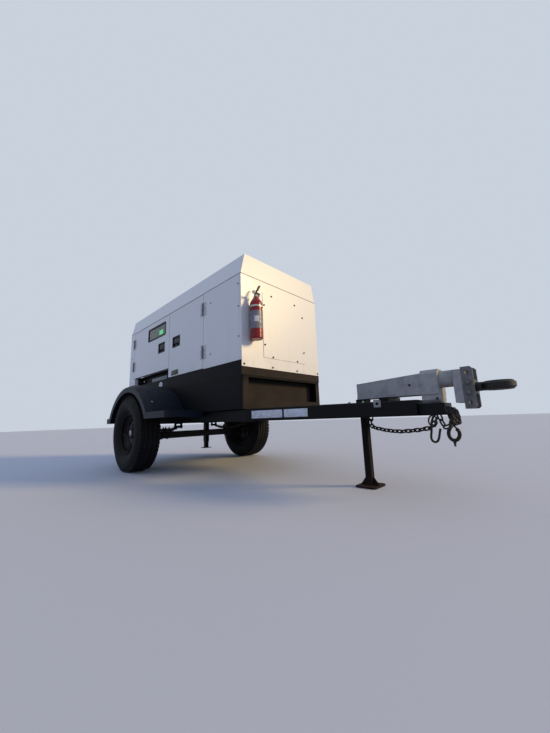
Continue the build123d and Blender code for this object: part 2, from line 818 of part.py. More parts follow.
with BuildPart() as engine:
    for start, end, low_width, high_width, low, high in engine_steps:
        with BuildSketch(end_plane(-1, back(start), 0, crank_height)):
            with BuildLine():
                Polyline((-low_width / 2, low), (-high_width / 2, high),
                         (high_width / 2, high), (low_width / 2, low), close=True)
            make_face()
        extrude(amount=end - start)
    with BuildSketch(end_plane(-1, back(case_end), 0, crank_height)):
        Circle(housing_radius)
    extrude(amount=housing_depth)
    with BuildSketch(end_plane(-1, back(engine_front - pulley_depth), 0, crank_height)):
        Circle(pulley_radius)
    extrude(amount=pulley_depth)
    with BuildSketch(end_plane(-1, back(cleaner_span[0]), 0, crank_height)):
        with Locations(cleaner_place):
            Circle(cleaner_radius)
        with Locations((cleaner_place[0] / 2, (cleaner_place[1] + head_rise) / 2)):
            Rectangle(cleaner_place[0], cleaner_place[1] - head_rise)
    extrude(amount=cleaner_span[1] - cleaner_span[0])
    with BuildSketch(Plane.XY.offset(floor_top)):
        with Locations((back((engine_front + case_end) / 2), 0)):
            with GridLocations(*foot_spacing, 2, 2):
                Rectangle(*foot_section)
    extrude(amount=crank_height - case_drop - floor_top)
    with BuildSketch(Plane.XY.offset(crank_height - case_drop)):
        with Locations((back((engine_front + case_end) / 2), 0)):
            with GridLocations(foot_spacing[0], 0, 2, 1):
                Rectangle(foot_section[0], foot_spacing[1] + foot_section[1])
    extrude(amount=foot_section[1])
engine.part.label = "engine"
export_step(engine.part, "parts/engine.step")

# Alternator: frame, end bell, terminal box and feet
alternator_radius = 215
alternator_end = 1600
bell_radius = 180
bell_depth = 70
alternator_box = (360, 250, 150)
alternator_feet = (420, 320)
with BuildPart() as alternator:
    with BuildSketch(end_plane(-1, back(engine_rear), 0, crank_height)):
        Circle(alternator_radius)
    extrude(amount=alternator_end - engine_rear)
    with BuildSketch(end_plane(-1, back(alternator_end), 0, crank_height)):
        Circle(bell_radius)
    extrude(amount=bell_depth)
    with BuildSketch(Plane.XY.offset(crank_height)):
        with Locations((back((engine_rear + alternator_end) / 2), 0)):
            Rectangle(alternator_box[0], alternator_box[1])
    extrude(amount=alternator_radius + alternator_box[2])
    with BuildSketch(Plane.XY.offset(floor_top)):
        with Locations((back((engine_rear + alternator_end) / 2), 0)):
            Rectangle(*alternator_feet)
    extrude(amount=crank_height - alternator_radius / 2 - floor_top)
alternator.part.label = "alternator"
export_step(alternator.part, "parts/alternator.step")

# Axle with its springs: tube, end plates that raise the two spindles, and spring clamps
seat_height = axle_height + axle_tube / 2
spindle_inset = 120
spindle_length = 130
spindle_start = wheel_y - spindle_inset
end_plate = (96, 136, 24)
with BuildPart() as axle:
    with BuildSketch(side_plane(1, axle_x, -spindle_start, axle_height)):
        RectangleRounded(axle_tube, axle_tube, beam_corner)
    extrude(amount=2 * spindle_start)
    for side in (-1, 1):
        with BuildSketch(side_plane(side, axle_x, spindle_start - end_plate[2], (axle_height + wheel_height) / 2)):
            Rectangle(end_plate[0], end_plate[1])
        extrude(amount=end_plate[2])
        with BuildSketch(side_plane(side, axle_x, spindle_start, wheel_height)):
            Circle(spindle_radius)
        extrude(amount=spindle_length)
axle.part.label = "axle"
export_step(axle.part, "parts/axle.step")

# Leaf springs: stacked leaves that shorten downwards, the longest rolled to an eye at each end
spring_rise = 32
spring_step = 80
spring_eye = (14, 6.3)
spring_clamp = (110, 76, 10)
leaf_top = seat_height + running_gap + spring_leaves * spring_leaf
eye_height = leaf_top - spring_leaf / 2 + spring_rise
with BuildPart() as leaf_springs:
    for side, leaf in product((-1, 1), range(spring_leaves)):
        half_length = spring_length / 2 - leaf * spring_step
        rise = spring_rise * (2 * half_length / spring_length) ** 2
        crest = rise + spring_leaf
        base = leaf_top - (leaf + 1) * spring_leaf
        with BuildSketch(side_plane(side, axle_x, (spring_spacing - spring_width) / 2, base)):
            with BuildLine():
                ThreePointArc((-half_length, rise), (0, 0), (half_length, rise))
                Line((half_length, rise), (half_length, crest))
                ThreePointArc((half_length, crest), (0, spring_leaf), (-half_length, crest))
                Line((-half_length, crest), (-half_length, rise))
            make_face()
            if leaf == 0:
                with GridLocations(spring_length, 0, 2, 1):
                    with Locations((0, rise + spring_leaf / 2)):
                        Circle(spring_eye[0])
                        Circle(spring_eye[1], mode=Mode.SUBTRACT)
        extrude(amount=spring_width)
    with BuildSketch(Plane.XY.offset(leaf_top)):
        with Locations((axle_x, 0)):
            with GridLocations(0, spring_spacing, 1, 2):
                Rectangle(spring_clamp[0], spring_clamp[1])
    extrude(amount=spring_clamp[2])
leaf_springs.part.label = "leaf_springs"
export_step(leaf_springs.part, "parts/leaf_springs.step")

# Spring hangers: two cheeks and a pin for each eye, under a plate on the rail
hanger_radius = 20
hanger_plate = 7
hanger_play = 1
cheek_inner = spring_width / 2 + hanger_play
with BuildPart() as spring_hangers:
    for side, end in product((-1, 1), (-1, 1)):
        eye_x = axle_x + end * spring_length / 2
        for cheek in (-cheek_inner - hanger_plate, cheek_inner):
            with BuildSketch(side_plane(side, eye_x, spring_spacing / 2 + cheek, eye_height)):
                Circle(hanger_radius)
                with Locations((0, (frame_bottom - eye_height) / 2)):
                    Rectangle(2 * hanger_radius, frame_bottom - eye_height)
            extrude(amount=hanger_plate)
        with BuildSketch(side_plane(side, eye_x, spring_spacing / 2 - cheek_inner, eye_height)):
            Circle(spring_eye[1] - running_gap)
            with Locations((0, frame_bottom - eye_height - hanger_plate / 2)):
                Rectangle(2 * hanger_radius, hanger_plate)
        extrude(amount=2 * cheek_inner)
spring_hangers.part.label = "spring_hangers"
export_step(spring_hangers.part, "parts/spring_hangers.step")

# Wheels: tyre, and the rim with its drop centre, dished disc and hub.
# Each outline goes round the section: place across the wheel, then radius.
half_bead = bead_spacing / 2
half_tyre = tyre_width / 2
bead_height = 15
rim_lip = 6
rim_sheet = 8
hub_reach = 58
hub_radius = 56
hub_back = -60
seat_radius = rim_radius - running_gap
lip_radius = rim_radius + bead_height - 1
bore_radius = spindle_radius + running_gap
lip_end = half_bead + rim_lip
seat_end = half_bead + running_gap
well_radius = seat_radius - 27
disc_crest = 26
disc_face = 8
disc_thickness = 20
hub_cap = 12
tyre_bulge = 97
tyre_half = (
    (half_bead, rim_radius),
    (half_bead, rim_radius + bead_height),
    (half_tyre - 15, rim_radius + 42),
    (half_tyre, rim_radius + tyre_bulge),
    (half_tyre - 7, tyre_radius - 45),
    (half_tyre - 25, tyre_radius - 12),
    (half_tyre - 53, tyre_radius),
)
rim_outline = (
    (-lip_end, lip_radius), (-seat_end, lip_radius), (-seat_end, seat_radius),
    (seat_end, seat_radius), (seat_end, lip_radius), (lip_end, lip_radius),
    (lip_end, rim_radius), (30, seat_radius - rim_sheet), (20, well_radius), (0, well_radius),
    (disc_crest, 126), (disc_crest, 96), (disc_face, 76), (disc_face, hub_radius),
    (hub_reach - hub_cap, hub_radius - 10), (hub_reach, hub_radius - 20),
    (hub_reach, 0), (hub_reach - hub_cap, 0), (hub_reach - hub_cap, bore_radius), (hub_back, bore_radius),
    (hub_back, hub_radius), (disc_face - disc_thickness, 70), (-hub_cap, well_radius), (-lip_end, rim_radius),
)
for side, tag in SIDES:
    wheel_section = Plane(origin=(axle_x, side * wheel_y, wheel_height), x_dir=(0, side, 0), z_dir=(side, 0, 0))
    wheel_axis = Axis(wheel_section.origin, (0, 1, 0))
    with BuildPart() as tyre:
        with BuildSketch(wheel_section):
            with BuildLine():
                Polyline(*tyre_half, *((-across, radius) for across, radius in reversed(tyre_half)), close=True)
            make_face()
        revolve(axis=wheel_axis)
    tyre.part.label = f"tyre_{tag}"
    export_step(tyre.part, f"parts/tyre_{tag}.step")

    with BuildPart() as rim:
        with BuildSketch(wheel_section):
            with BuildLine():
                Polyline(*rim_outline, close=True)
            make_face()
        revolve(axis=wheel_axis)
    rim.part.label = f"rim_{tag}"
    export_step(rim.part, f"parts/rim_{tag}.step")

# Fenders: a turned arch with a bevelled outer edge, let into a shallow ledge fore and aft
arch_section = Plane(
    origin=(axle_x + fender_arch_offset, 0, fender_arch_height), x_dir=(0, 1, 0), z_dir=(1, 0, 0)
)
arch_x = arch_section.origin.X
bevel_start = fender_outer - fender_bevel
fender_width = fender_outer - half_width
fender_middle = (fender_outer + half_width) / 2


def turned_arch(outline):
    """Solid turned about the arch's axis from an outline of places across and radii."""
    with BuildPart() as turned:
        with BuildSketch(arch_section):
            with BuildLine():
                Polyline(*outline, close=True)
            make_face()
        revolve(axis=Axis(arch_section.origin, (0, 1, 0)))
    return turned.part


for side, tag in SIDES:
    with BuildPart() as fender:
        add(turned_arch((
            (half_width, 0), (half_width, fender_crown), (bevel_start, fender_crown),
            (fender_outer, fender_edge), (fender_outer, 0),
        )))
        for direction, (reach, top) in ((1, fender_front), (-1, fender_rear)):
            with BuildSketch(Plane.XY.offset(top)):
                with Locations((arch_x + direction * fender_crown / 2, fender_middle)):
                    Rectangle(fender_crown, fender_width)
            extrude(amount=-2 * fender_crown, mode=Mode.SUBTRACT)
        for direction, (reach, top) in ((1, fender_front), (-1, fender_rear)):
            end_x = axle_x + direction * reach
            with BuildSketch(Plane.XY.offset(top - fender_ledge)):
                with Locations(((arch_x + end_x) / 2, fender_middle)):
                    Rectangle(abs(end_x - arch_x), fender_width)
            extrude(amount=fender_ledge)
            with BuildSketch(Plane.XY.offset(top - fender_ledge)):
                with Locations(((arch_x + end_x) / 2, fender_middle)):
                    Rectangle(abs(end_x - arch_x) - 2 * fender_sheet, fender_width - 2 * fender_sheet)
            extrude(amount=fender_ledge - fender_sheet, mode=Mode.SUBTRACT)
        inner_outer = fender_outer - fender_sheet
        add(turned_arch((
            (0, 0), (0, fender_crown - fender_sheet), (bevel_start, fender_crown - fender_sheet),
            (inner_outer, fender_edge - fender_sheet), (inner_outer, fender_opening),
            (fender_outer + fender_sheet, fender_opening), (fender_outer + fender_sheet, 0),
        )), mode=Mode.SUBTRACT)
        if side < 0:
            mirror(about=Plane.XZ, mode=Mode.REPLACE)
    fender.part.label = f"fender_{tag}"
    export_step(fender.part, f"parts/fender_{tag}.step")

# Rear stands: a fixed post under each rail, with a foot that hangs clear of the road
stand_back = 2060
stand_size = (60, 50)
stand_plate = (110, 90, 8)
stand_clearance = 112
stand_foot_end = 90
with BuildPart() as rear_stands:
    for x_size, y_size, bottom, top in (
        (stand_plate[0], stand_plate[0], stand_clearance, stand_clearance + stand_plate[2]),
        (stand_size[1], stand_size[1], stand_clearance, stand_clearance + stand_foot_end),
        (stand_size[0], stand_size[0], stand_clearance + stand_foot_end, frame_bottom),
        (stand_plate[0], stand_plate[1], frame_bottom - stand_plate[2], frame_bottom),
    ):
        with BuildSketch(Plane.XY.offset(bottom)):
            with Locations((back(stand_back), 0)):
                with GridLocations(0, rail_spacing, 1, 2):
                    Rectangle(x_size, y_size)
        extrude(amount=top - bottom)
rear_stands.part.label = "rear_stands"
export_step(rear_stands.part, "parts/rear_stands.step")

# Stand leg: a sleeve on cross plates between the drawbar's beams, and the sliding leg.
# Lugs on the upper plate carry the tail of the coupler's channel.
leg_x = front_x + leg_ahead
leg_sleeve_size = leg_size + 2 * (leg_clearance + leg_sleeve_wall)
cross_plate_half = 75
cross_plate_thickness = 12
saddle_lug = (50, 15)
with BuildPart() as leg_sleeve:
    wide_y = drawbar_inner(leg_ahead - cross_plate_half)
    narrow_y = drawbar_inner(leg_ahead + cross_plate_half)
    for height in (frame_bottom, beam_top - cross_plate_thickness):
        with BuildSketch(Plane.XY.offset(height)):
            with BuildLine():
                Polyline(
                    (leg_x - cross_plate_half, -wide_y), (leg_x + cross_plate_half, -narrow_y),
                    (leg_x + cross_plate_half, narrow_y), (leg_x - cross_plate_half, wide_y), close=True,
                )
            make_face()
        extrude(amount=cross_plate_thickness)
    with BuildSketch(Plane.XY.offset(frame_bottom)):
        with Locations((leg_x, 0)):
            Rectangle(leg_sleeve_size, leg_sleeve_size)
    extrude(amount=leg_sleeve_height)
    with BuildSketch(Plane.XY.offset(frame_bottom)):
        with Locations((leg_x, 0)):
            Rectangle(leg_size + 2 * leg_clearance, leg_size + 2 * leg_clearance)
    extrude(amount=leg_sleeve_height, mode=Mode.SUBTRACT)
    with BuildSketch(Plane.XY.offset(beam_top)):
        with Locations((leg_x, 0)):
            with GridLocations(0, actuator_width - saddle_lug[1], 1, 2):
                Rectangle(*saddle_lug)
    extrude(amount=actuator_bottom - beam_top)
leg_sleeve.part.label = "leg_sleeve"
export_step(leg_sleeve.part, "parts/leg_sleeve.step")

leg_corner = 4
foot_corner = 20
gusset_reach = 45
gusset_height = 60
gusset_plate = 8
with BuildPart() as stand_leg:
    leg_start = Plane(origin=(leg_x, 0, foot_thickness))
    add(square_tube(leg_start, leg_size, leg_wall, leg_top - foot_thickness, leg_corner))
    with BuildSketch(Plane.XY):
        with Locations((leg_x, 0)):
            RectangleRounded(*foot_size, foot_corner)
    extrude(amount=foot_thickness)
    for direction in (-1, 1):
        foot_edge = leg_x + direction * leg_size / 2
        with BuildSketch(side_plane(-1, 0, gusset_plate / 2, foot_thickness)):
            with BuildLine():
                Polyline((foot_edge, 0), (foot_edge + direction * gusset_reach, 0),
                         (foot_edge, gusset_height), close=True)
            make_face()
        extrude(amount=-gusset_plate)
stand_leg.part.label = "stand_leg"
export_step(stand_leg.part, "parts/stand_leg.step")

# Surge coupler: the fixed channel rises to the front, open below, with a cross bolt's hole
bolt_ahead = 1136
bolt_height = 679
bolt_radius = 8
with BuildPart() as actuator:
    for inset, mode in ((0, Mode.ADD), (actuator_wall, Mode.SUBTRACT)):
        with BuildSketch(side_plane(-1, front_x, actuator_width / 2 - inset, 0)):
            with BuildLine():
                Polyline(
                    (actuator_start, actuator_bottom), (actuator_end, actuator_bottom),
                    (actuator_end, actuator_top[1] - inset), (actuator_start, actuator_top[0] - inset),
                    close=True,
                )
            make_face()
        extrude(amount=-(actuator_width - 2 * inset), mode=mode)
    with BuildSketch(side_plane(-1, front_x + bolt_ahead, actuator_width / 2, bolt_height)):
        Circle(bolt_radius)
    extrude(amount=-actuator_width, mode=Mode.SUBTRACT)
actuator.part.label = "actuator_channel"
export_step(actuator.part, "parts/actuator_channel.step")

# Front block: bored upper body, clamp flange and a narrower chamfered foot with a cross hole
block_bottom = frame_bottom + nose_height
block_step = 6
block_chamfer = (28, 22)
flange_edge = 4
flange_height = 10
foot_hole_inset = 15
with BuildPart() as actuator_block:
    with BuildSketch(end_plane(1, front_x + actuator_end, 0, block_split)) as upper:
        with Locations((0, (block_top - block_split) / 2)):
            Rectangle(block_width, block_top - block_split)
        chamfer(upper.vertices().group_by(Axis.Y)[-1], block_chamfer[0])
        with Locations((0, slide_height - block_split)):
            Circle(slide_radius + slide_clearance, mode=Mode.SUBTRACT)
    extrude(amount=block_end - actuator_end)
    with BuildSketch(end_plane(1, front_x + actuator_end, 0, block_split)) as lower:
        with Locations((0, (block_bottom - block_split) / 2)):
            Rectangle(block_width - 2 * block_step, block_split - block_bottom)
        chamfer(lower.vertices().group_by(Axis.Y)[0], block_chamfer[1])
        Rectangle(block_width + 2 * flange_edge, flange_height)
    extrude(amount=block_end - actuator_end)
    hole_height = (block_bottom + block_split) / 2 - bolt_radius / 2
    with BuildSketch(side_plane(-1, front_x + block_end - foot_hole_inset, block_width / 2, hole_height)):
        Circle(bolt_radius)
    extrude(amount=-block_width, mode=Mode.SUBTRACT)
actuator_block.part.label = "actuator_block"
export_step(actuator_block.part, "parts/actuator_block.step")

# Sliding tube with the mount that its height-setting bracket bolts to
slide_lap = slide_travel + slide_play
with BuildPart() as slide_tube:
    with BuildSketch(end_plane(1, front_x + actuator_end + slide_lap, 0, slide_height)):
        Circle(slide_radius)
        Circle(slide_radius - slide_wall, mode=Mode.SUBTRACT)
    extrude(amount=slide_end - actuator_end - slide_lap)
    with BuildSketch(end_plane(1, front_x + slide_end, 0, slide_mount_bottom + slide_mount[1] / 2)):
        Rectangle(coupler_channel_width, slide_mount[1])
    extrude(amount=slide_mount[0])
    with BuildSketch(end_plane(1, front_x + slide_end + slide_wall, 0, slide_mount_bottom + slide_mount[1] / 2)):
        Rectangle(coupler_channel_width - 2 * slide_wall, slide_mount[1])
    extrude(amount=slide_mount[0] - slide_wall, mode=Mode.SUBTRACT)
slide_tube.part.label = "slide_tube"
export_step(slide_tube.part, "parts/slide_tube.step")

# Height-setting bracket: an upright channel, open to the front, its flanges drilled in a row
channel_x = front_x + slide_end + slide_mount[0]
bracket_hole_radius = 11
bracket_holes = 4
bracket_pitch = 58
bracket_corner = 12
bracket_plane = side_plane(-1, channel_x + coupler_channel[0] / 2, coupler_channel_width / 2,
                           coupler_bottom + coupler_channel[1] / 2)
with BuildPart() as coupler_bracket:
    with BuildSketch(bracket_plane) as flange:
        Rectangle(*coupler_channel)
        chamfer(flange.vertices().group_by(Axis.X)[-1], bracket_corner)
        with GridLocations(0, bracket_pitch, 1, bracket_holes):
            Circle(bracket_hole_radius, mode=Mode.SUBTRACT)
    extrude(amount=-coupler_channel_width)
    with BuildSketch(Plane.XY.offset(coupler_bottom)):
        with Locations((channel_x + coupler_channel_wall + coupler_channel[0] / 2, 0)):
            Rectangle(coupler_channel[0], coupler_channel_width - 2 * coupler_channel_wall)
    extrude(amount=coupler_channel[1], mode=Mode.SUBTRACT)
coupler_bracket.part.label = "coupler_bracket"
export_step(coupler_bracket.part, "parts/coupler_bracket.step")

# Lunette eye: ring, tapered shank and the base that sits in the bracket
lunette_x = nose_x - lunette_hole_radius - lunette_section[0]
lunette_middle = lunette_hole_radius + lunette_section[0] / 2
shank_start = channel_x + coupler_channel_wall
lunette_base = (coupler_channel_width - 2 * coupler_channel_wall - 1, 84)
with BuildPart() as lunette:
    with BuildSketch(Plane(origin=(lunette_x, 0, lunette_height), x_dir=(0, 1, 0), z_dir=(1, 0, 0))) as ring:
        with Locations((lunette_middle, 0)):
            Rectangle(*lunette_section)
        chamfer(ring.vertices(), lunette_chamfer)
    revolve(axis=Axis((lunette_x, 0, lunette_height), (0, 0, 1)))
    with BuildSketch(end_plane(1, shank_start, 0, lunette_height)):
        Rectangle(*lunette_base)
    extrude(amount=coupler_channel[0] - coupler_channel_wall)
    with BuildSketch(end_plane(1, shank_start, 0, lunette_height)):
        Circle(shank_radii[0])
    with BuildSketch(end_plane(1, lunette_x - lunette_middle, 0, lunette_height)):
        Circle(shank_radii[1])
    loft()
lunette.part.label = "lunette_eye"
export_step(lunette.part, "parts/lunette_eye.step")

# Fire extinguisher on its bracket at the near front corner: the bottle's outline is a
# list of radii and heights above its foot
bottle_radius = 54
bottle_rise = 169
bottle_inset = 105
bottle_y = half_width - bottle_inset
bottle_side = 310
bottle_foot = (6, 8)
bottle_shoulder = (5, 20)
bottle_neck = (17, 380)
bracket_depth = 20
bottle_bottom = skid_top + bottle_rise
bottle_x = front_x + bracket_depth + bottle_radius
bottle_plane = Plane(origin=(bottle_x, -bottle_y, bottle_bottom), x_dir=(0, 1, 0), z_dir=(1, 0, 0))
with BuildPart() as extinguisher_bottle:
    with BuildSketch(bottle_plane):
        with BuildLine():
            Polyline(
                (0, 0), (bottle_radius - bottle_foot[0], 0), (bottle_radius, bottle_foot[1]),
                (bottle_radius, bottle_side),
                (bottle_radius - bottle_shoulder[0], bottle_side + bottle_shoulder[1]),
                bottle_neck, (0, bottle_neck[1]), close=True,
            )
        make_face()
    revolve(axis=Axis(bottle_plane.origin, (0, 0, 1)))
extinguisher_bottle.part.label = "extinguisher_bottle"
export_step(extinguisher_bottle.part, "parts/extinguisher_bottle.step")

# Valve: body, nozzle to the far side, and the carrying handle below its raised lever
valve_radius = 14
valve_height = 48
nozzle_radius = 7
nozzle_length = 34
nozzle_rise = 14
handle_rise = 36
handle_thickness = 6
handle_width = 20
handles = ((44, -8), (92, 60))
valve_foot = bottle_bottom + bottle_neck[1]
with BuildPart() as extinguisher_valve:
    with BuildSketch(Plane(origin=(bottle_x, -bottle_y, valve_foot))):
        Circle(valve_radius)
    extrude(amount=valve_height)
    with BuildSketch(side_plane(1, bottle_x, -bottle_y, valve_foot + nozzle_rise)):
        Circle(nozzle_radius)
    extrude(amount=nozzle_length)
    handle_plane = end_plane(1, bottle_x - handle_width / 2, -bottle_y, valve_foot + handle_rise)
    for handle_length, angle in handles:
        with BuildSketch(handle_plane):
            Rectangle(handle_length, handle_thickness, rotation=angle, align=(Align.MIN, Align.CENTER))
        extrude(amount=handle_width)
extinguisher_valve.part.label = "extinguisher_valve"
export_step(extinguisher_valve.part, "parts/extinguisher_valve.step")

# Wall bracket: back plate, foot and the strap round the bottle with its buckle
bracket_width = 50
bracket_sheet = 3
strap_rise = 275
strap_height = 16
buckle = (14, 30)
strap_inner = bottle_radius + running_gap
with BuildPart() as extinguisher_bracket:
    with BuildSketch(end_plane(1, front_x, -bottle_y, bottle_bottom + bottle_side / 2)):
        Rectangle(bracket_width, bottle_side)
    extrude(amount=bracket_depth - running_gap)
    with BuildSketch(Plane(origin=(bottle_x, -bottle_y, bottle_bottom + strap_rise))):
        Circle(strap_inner + bracket_sheet)
        with Locations((0, strap_inner + bracket_sheet + buckle[0] / 2 - 1)):
            Rectangle(*buckle[::-1])
        Circle(strap_inner, mode=Mode.SUBTRACT)
    extrude(amount=strap_height)
extinguisher_bracket.part.label = "extinguisher_bracket"
export_step(extinguisher_bracket.part, "parts/extinguisher_bracket.step")

# Tail lamps on the rear bar
lamp_size = (120, 84)
lamp_corner = 10
lamp_inset = 75
with BuildPart() as tail_lamps:
    for side in (-1, 1):
        with BuildSketch(end_plane(-1, rear_x - rear_bar_depth, side * (half_width - lamp_inset),
                                   frame_bottom + beam / 2)):
            RectangleRounded(*lamp_size, lamp_corner)
        extrude(amount=rear_overhang - rear_bar_depth)
tail_lamps.part.label = "tail_lamps"
export_step(tail_lamps.part, "parts/tail_lamps.step")
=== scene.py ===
"""Looks of the towable diesel generator: the finish of every surface, and the fastenings, trim,
chain and instruments that its solid model leaves out.

The model's own frame: +X points to the towing end, -Y is the near side with the control window,
+Z is up, and the ground is at zero. Shapes are drawn in millimetres and kept in metres.
"""
import json
import math

import bmesh
import bpy
from mathutils import Matrix, Vector


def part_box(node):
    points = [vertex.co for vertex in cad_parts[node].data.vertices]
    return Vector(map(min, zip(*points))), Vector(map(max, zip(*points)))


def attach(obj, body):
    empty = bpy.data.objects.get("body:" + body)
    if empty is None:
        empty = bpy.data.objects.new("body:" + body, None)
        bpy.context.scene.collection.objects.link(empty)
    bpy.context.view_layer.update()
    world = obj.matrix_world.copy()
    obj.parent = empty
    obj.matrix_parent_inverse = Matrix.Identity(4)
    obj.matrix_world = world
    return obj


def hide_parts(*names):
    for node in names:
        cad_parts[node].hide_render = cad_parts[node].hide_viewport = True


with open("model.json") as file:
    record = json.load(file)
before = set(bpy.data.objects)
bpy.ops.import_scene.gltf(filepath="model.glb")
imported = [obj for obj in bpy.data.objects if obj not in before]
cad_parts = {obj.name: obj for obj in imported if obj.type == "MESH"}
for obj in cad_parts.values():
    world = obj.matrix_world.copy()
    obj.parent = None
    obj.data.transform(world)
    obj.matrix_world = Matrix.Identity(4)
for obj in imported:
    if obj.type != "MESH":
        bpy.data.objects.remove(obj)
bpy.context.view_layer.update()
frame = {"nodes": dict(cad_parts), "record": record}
nodes = frame["nodes"]

MM = 0.001

# Camera: where the photographer stood, the angles in degrees, the lens in millimetres
CAMERA_PLACE = (2.2788, -2.0326, 0.4896)
CAMERA_AZIMUTH = 44.15
CAMERA_PITCH = 10.26
CAMERA_ROLL = -1.97
FOCAL_LENGTH = 14.36
PHOTO_LONG_SIDE = 36.0


def place_camera():
    """Puts the camera at the photo's place, looking up at the set from beside the drawbar."""
    azimuth, pitch, roll = map(math.radians, (CAMERA_AZIMUTH, CAMERA_PITCH, CAMERA_ROLL))
    ahead = Vector((-math.sin(azimuth), math.cos(azimuth), 0.0))
    look = math.cos(pitch) * ahead + Vector((0.0, 0.0, math.sin(pitch)))
    level = Vector((math.cos(azimuth), math.sin(azimuth), 0.0))
    upright = level.cross(look)
    right = math.cos(roll) * level + math.sin(roll) * upright
    up = math.cos(roll) * upright - math.sin(roll) * level
    lens = bpy.data.cameras.new("photo_camera")
    lens.sensor_fit = "AUTO"
    lens.sensor_width = PHOTO_LONG_SIDE
    lens.lens = FOCAL_LENGTH
    lens.clip_start = 0.05
    lens.clip_end = 500.0
    camera = bpy.data.objects.new("photo_camera", lens)
    aim = Matrix((right, up, -look)).transposed().to_4x4()
    camera.matrix_world = Matrix.Translation(CAMERA_PLACE) @ aim
    bpy.context.scene.collection.objects.link(camera)
    bpy.context.scene.camera = camera


place_camera()


# Node trees and colours

def linear(code):
    """Linear colour of an sRGB hex code."""
    channels = [int(code[start:start + 2], 16) / 255 for start in (1, 3, 5)]
    return (*(c / 12.92 if c <= 0.04045 else ((c + 0.055) / 1.055) ** 2.4 for c in channels), 1.0)


def add(tree, kind, inputs=None, out=0, **settings):
    """Adds a node and gives one of its outputs: settings are its own properties, and inputs are
    values or other nodes' outputs, or a list of them for a socket that joins several."""
    made = tree.nodes.new(kind)
    for name, value in settings.items():
        setattr(made, name, value)
    for socket, value in (inputs or {}).items():
        for one in value if isinstance(value, list) else [value]:
            if isinstance(one, bpy.types.NodeSocket):
                tree.links.new(one, made.inputs[socket])
            else:
                made.inputs[socket].default_value = one
    return made.outputs[out] if len(made.outputs) else made


def worked(tree, value, *steps):
    """A number worked out from another in steps: each names an operation and what it takes."""
    for operation, *other in steps:
        value = add(tree, "ShaderNodeMath", {0: value, **dict(enumerate(other, 1))}, operation=operation)
    return value


def feed(tree, **sockets):
    """Feeds worked-out values to the shader, each to the socket of its name."""
    for name, value in sockets.items():
        tree.links.new(value, tree.nodes["Principled BSDF"].inputs[name.replace("_", " ")])


def patches(tree, size, start, full, stretch=(1, 1, 1), detail=5.0):
    """Mask of irregular patches about a size in millimetres: none up to start, all from full."""
    place = add(tree, "ShaderNodeTexCoord", out="Object")
    place = add(tree, "ShaderNodeMapping", {"Vector": place, "Scale": stretch})
    noise = add(tree, "ShaderNodeTexNoise", {"Vector": place, "Scale": 1 / (size * MM), "Detail": detail})
    return add(tree, "ShaderNodeMapRange", {"Value": noise, "From Min": start, "From Max": full})


def facing_share(tree, axis, start, full):
    """Mask of the faces that look along an axis: none up to a share of it, all from another."""
    facing = add(tree, "ShaderNodeNewGeometry", out="Normal")
    share = add(tree, "ShaderNodeSeparateXYZ", {0: facing}, out=axis)
    return add(tree, "ShaderNodeMapRange", {"Value": share, "From Min": start, "From Max": full})


def settled_dust(tree, lowest=0.35):
    """Mask of the faces that look up, where dust settles."""
    return facing_share(tree, "Z", lowest, 1.0)


def along(tree, axis, clean, dirty):
    """Mask that grows along an axis from a clean place to a dirty one, both in metres."""
    place = add(tree, "ShaderNodeTexCoord", out="Object")
    height = add(tree, "ShaderNodeSeparateXYZ", {0: place}, out=axis)
    return add(tree, "ShaderNodeMapRange", {"Value": height, "From Min": clean, "From Max": dirty})


def rubbed_edges(tree, width):
    """Mask of the edges, within a width in millimetres, where a coat wears through first."""
    rounded = add(tree, "ShaderNodeBevel", {"Radius": width * MM}, samples=4)
    flat = add(tree, "ShaderNodeNewGeometry", out="Normal")
    turn = add(tree, "ShaderNodeVectorMath", {0: rounded, 1: flat}, out="Value", operation="DOT_PRODUCT")
    return add(tree, "ShaderNodeMapRange", {"Value": turn, "From Min": 0.995, "From Max": 0.9})


def all_of(tree, first, *others):
    """One mask where all the masks agree. A mask may be a plain share."""
    return worked(tree, first, *(("MULTIPLY", mask) for mask in others))


def covered(tree, under, code, *masks):
    """A colour, worked out or a hex code, with another laid over it where all the masks agree."""
    below = linear(under) if isinstance(under, str) else under
    inputs = {0: all_of(tree, *masks), 6: below, 7: linear(code)}
    return add(tree, "ShaderNodeMix", inputs, out=2, data_type="RGBA")


def wear(tree, colour=None, mask=None, clean=0.0, worn=1.0):
    """Feeds the shader a worked-out colour, and a roughness that runs with a mask."""
    if colour:
        feed(tree, Base_Color=colour)
    if mask:
        roughness = add(tree, "ShaderNodeMapRange", {"Value": mask, "To Min": clean, "To Max": worn})
        feed(tree, Roughness=roughness)


def ridges(tree, pitch, depth, direction):
    """Feeds the shader the relief of even ridges, their pitch and depth in millimetres."""
    place = add(tree, "ShaderNodeTexCoord", out="Object")
    wave = {"Vector": place, "Scale": 1 / (pitch * MM)}
    height = add(tree, "ShaderNodeTexWave", wave, out=1, bands_direction=direction)
    feed(tree, Normal=add(tree, "ShaderNodeBump", {"Height": height, "Distance": depth * MM}))


def finish_of(name, colour, roughness, grain=None, depth=0.1, metallic=0.0, **shader):
    """Starts a material: the shader's even values, and the grain's size and depth in millimetres."""
    material = bpy.data.materials.new(name)
    material.use_nodes = True
    tree = material.node_tree
    even = {"Base Color": linear(colour), "Roughness": roughness, "Metallic": metallic, **shader}
    for socket, value in even.items():
        tree.nodes["Principled BSDF"].inputs[socket.replace("_", " ")].default_value = value
    if grain:
        height = patches(tree, grain, 0.25, 0.75, detail=2.0)
        bump = add(tree, "ShaderNodeBump", {"Height": height, "Distance": depth * MM, "Strength": 1.0})
        feed(tree, Normal=bump)
    return material, tree


# Materials

